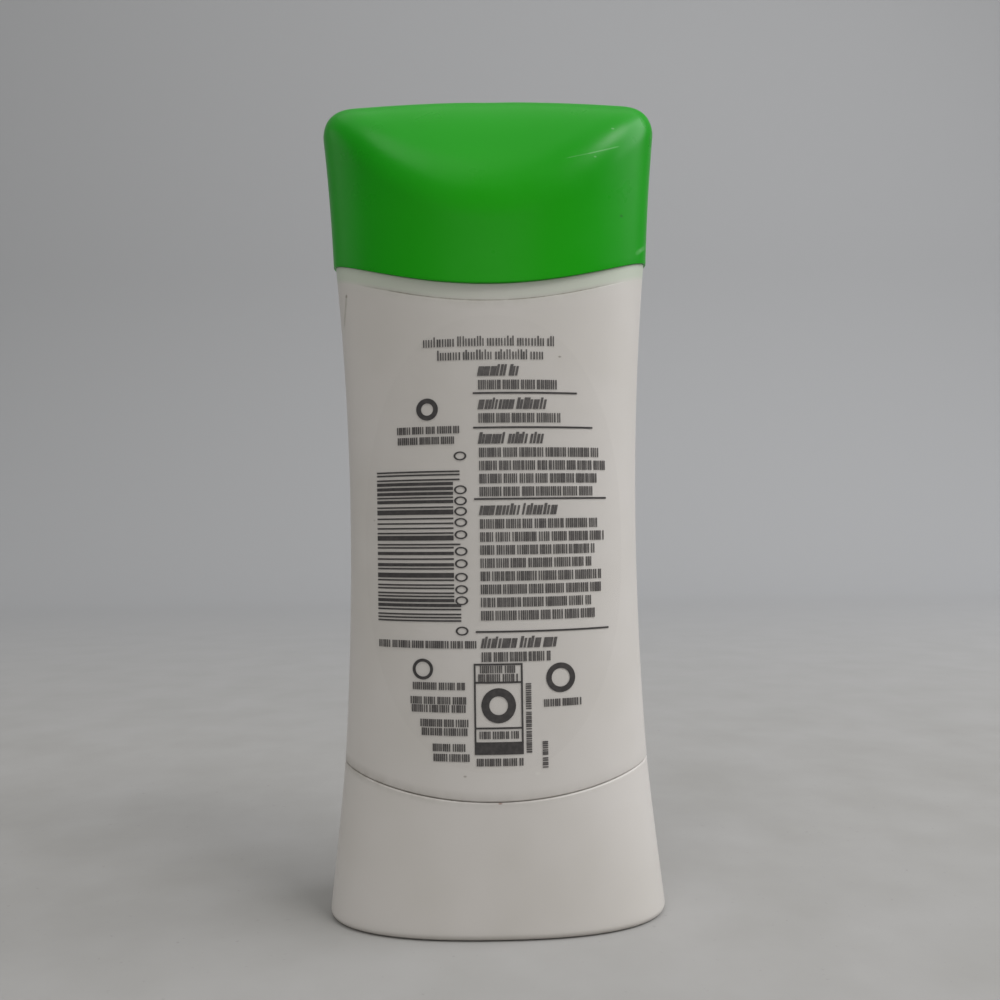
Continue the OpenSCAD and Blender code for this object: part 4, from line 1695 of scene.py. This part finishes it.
def barrel_wear(form: PackForm) -> tuple[Blemish, ...]:
    """Specks on the barrel and the base, and the rubbed left end of the label panel.

    Args:
        form: Form of the pack.

    Returns:
        The marks.
    """
    dirt = "#6E6152"
    # Distance right of the axis, height, radius, strength and colour.
    specks = ((0.5, 21.7, 0.25, 0.7, "#7A4F38"), (11.2, 93.7, 0.2, 0.6, dirt),
              (-19.9, 67.3, 0.15, 0.5, dirt), (-5.1, 25.95, 0.2, 0.5, dirt),
              (6.6, 26.2, 0.3, 0.4, "#DAD7CF"), (-24.6, 105.6, 0.35, 0.6, dirt))
    rubbed = ((-24.6, -5.07, 105.6), (-24.77, -4.71, 104.07), (-25.01, -4.18, 102.47), (-25.16, -3.74, 101.0))
    dots = [dot(form.on_barrel(x, z, 0.0), *look) for x, z, *look in specks]
    return (*dots, *scratch(rubbed, 0.4, 0.3, "#79765F"))


def cap_wear() -> tuple[Blemish, ...]:
    """Scratches, a scuff and nicks at the cap's right, on its shoulder and by the corner of its edge.

    Returns:
        The marks.
    """
    pale = "#8FCB8B"
    faint = ((13.01, -11.62, 126.6), (14.76, -11.33, 127.05), (16.5, -10.98, 127.51))
    plain = ((16.5, -10.98, 127.51), (17.82, -10.64, 127.92), (19.21, -10.21, 128.38),
             (20.44, -9.75, 128.83), (21.71, -9.19, 129.33))
    scuff = ((25.16, -5.66, 112.38), (25.92, -4.71, 113.08), (26.76, -3.31, 113.9))
    return (*scratch(faint, 0.12, 0.2, pale), *scratch(plain, 0.15, 0.35, pale),
            *scratch(scuff, 0.5, 0.2, pale), dot((20.98, -8.39, 132.71), 0.2, 0.5, pale),
            dot((17.65, -10.87, 127.03), 0.18, 0.4, pale), dot((22.17, -8.55, 117.84), 0.3, 0.6, "#1F5A1C"))


# Building


def main() -> None:
    """Build the pieces in order, dress them and set up the studio."""
    logging.basicConfig(level=logging.INFO, format="%(message)s")
    form = PackForm()
    # The white's default colours paint dust and shade at marked edges, and light bounced onto the band under
    # the cap.
    white = MouldedPolypropylene("moulded_polypropylene_white", "#D0CBC5", "#CBC6BF",
                                 blemishes=barrel_wear(form)).material()
    hidden_white = MouldedPolypropylene("moulded_polypropylene_plain", "#C8C5BE", "#C3BFB8").material()
    # The green's painted light is a warmer, lighter green for the middle of the cap's walls.
    green = MouldedPolypropylene("moulded_polypropylene_green", "#0D9606", "#0A9203", painted_light="#1BA006",
                                 roughness=0.3, shine=0.16, glow=0.05, blemishes=cap_wear()).material()
    film = ClearFilm().material()
    dark_ink = FlexoInk("flexo_ink_black", "#353231", "#474341").material()
    grey_ink = FlexoInk("flexo_ink_grey", "#4E4A48", "#625E5B").material()

    barrel = Barrel(form)
    Base(form).build(white)
    barrel.build(white)
    Cap(form).build(green)
    WheelAndScrew().build(hidden_white)
    Elevator(barrel.bore()).build(hidden_white)
    Stick(barrel.bore()).build(PouredStick().material())
    label = FilmLabel(form)
    label.build("back_film", "back_label", False, film)
    label.build("front_film", "front_label", True, film)
    back = BackPrint(form)
    back.build_bars(dark_ink)
    back.build_rules(dark_ink)
    back.build_rows(grey_ink)
    Studio().set_up()

    bpy.context.scene.view_settings.view_transform = "Standard"


if __name__ == "__main__":
    main()
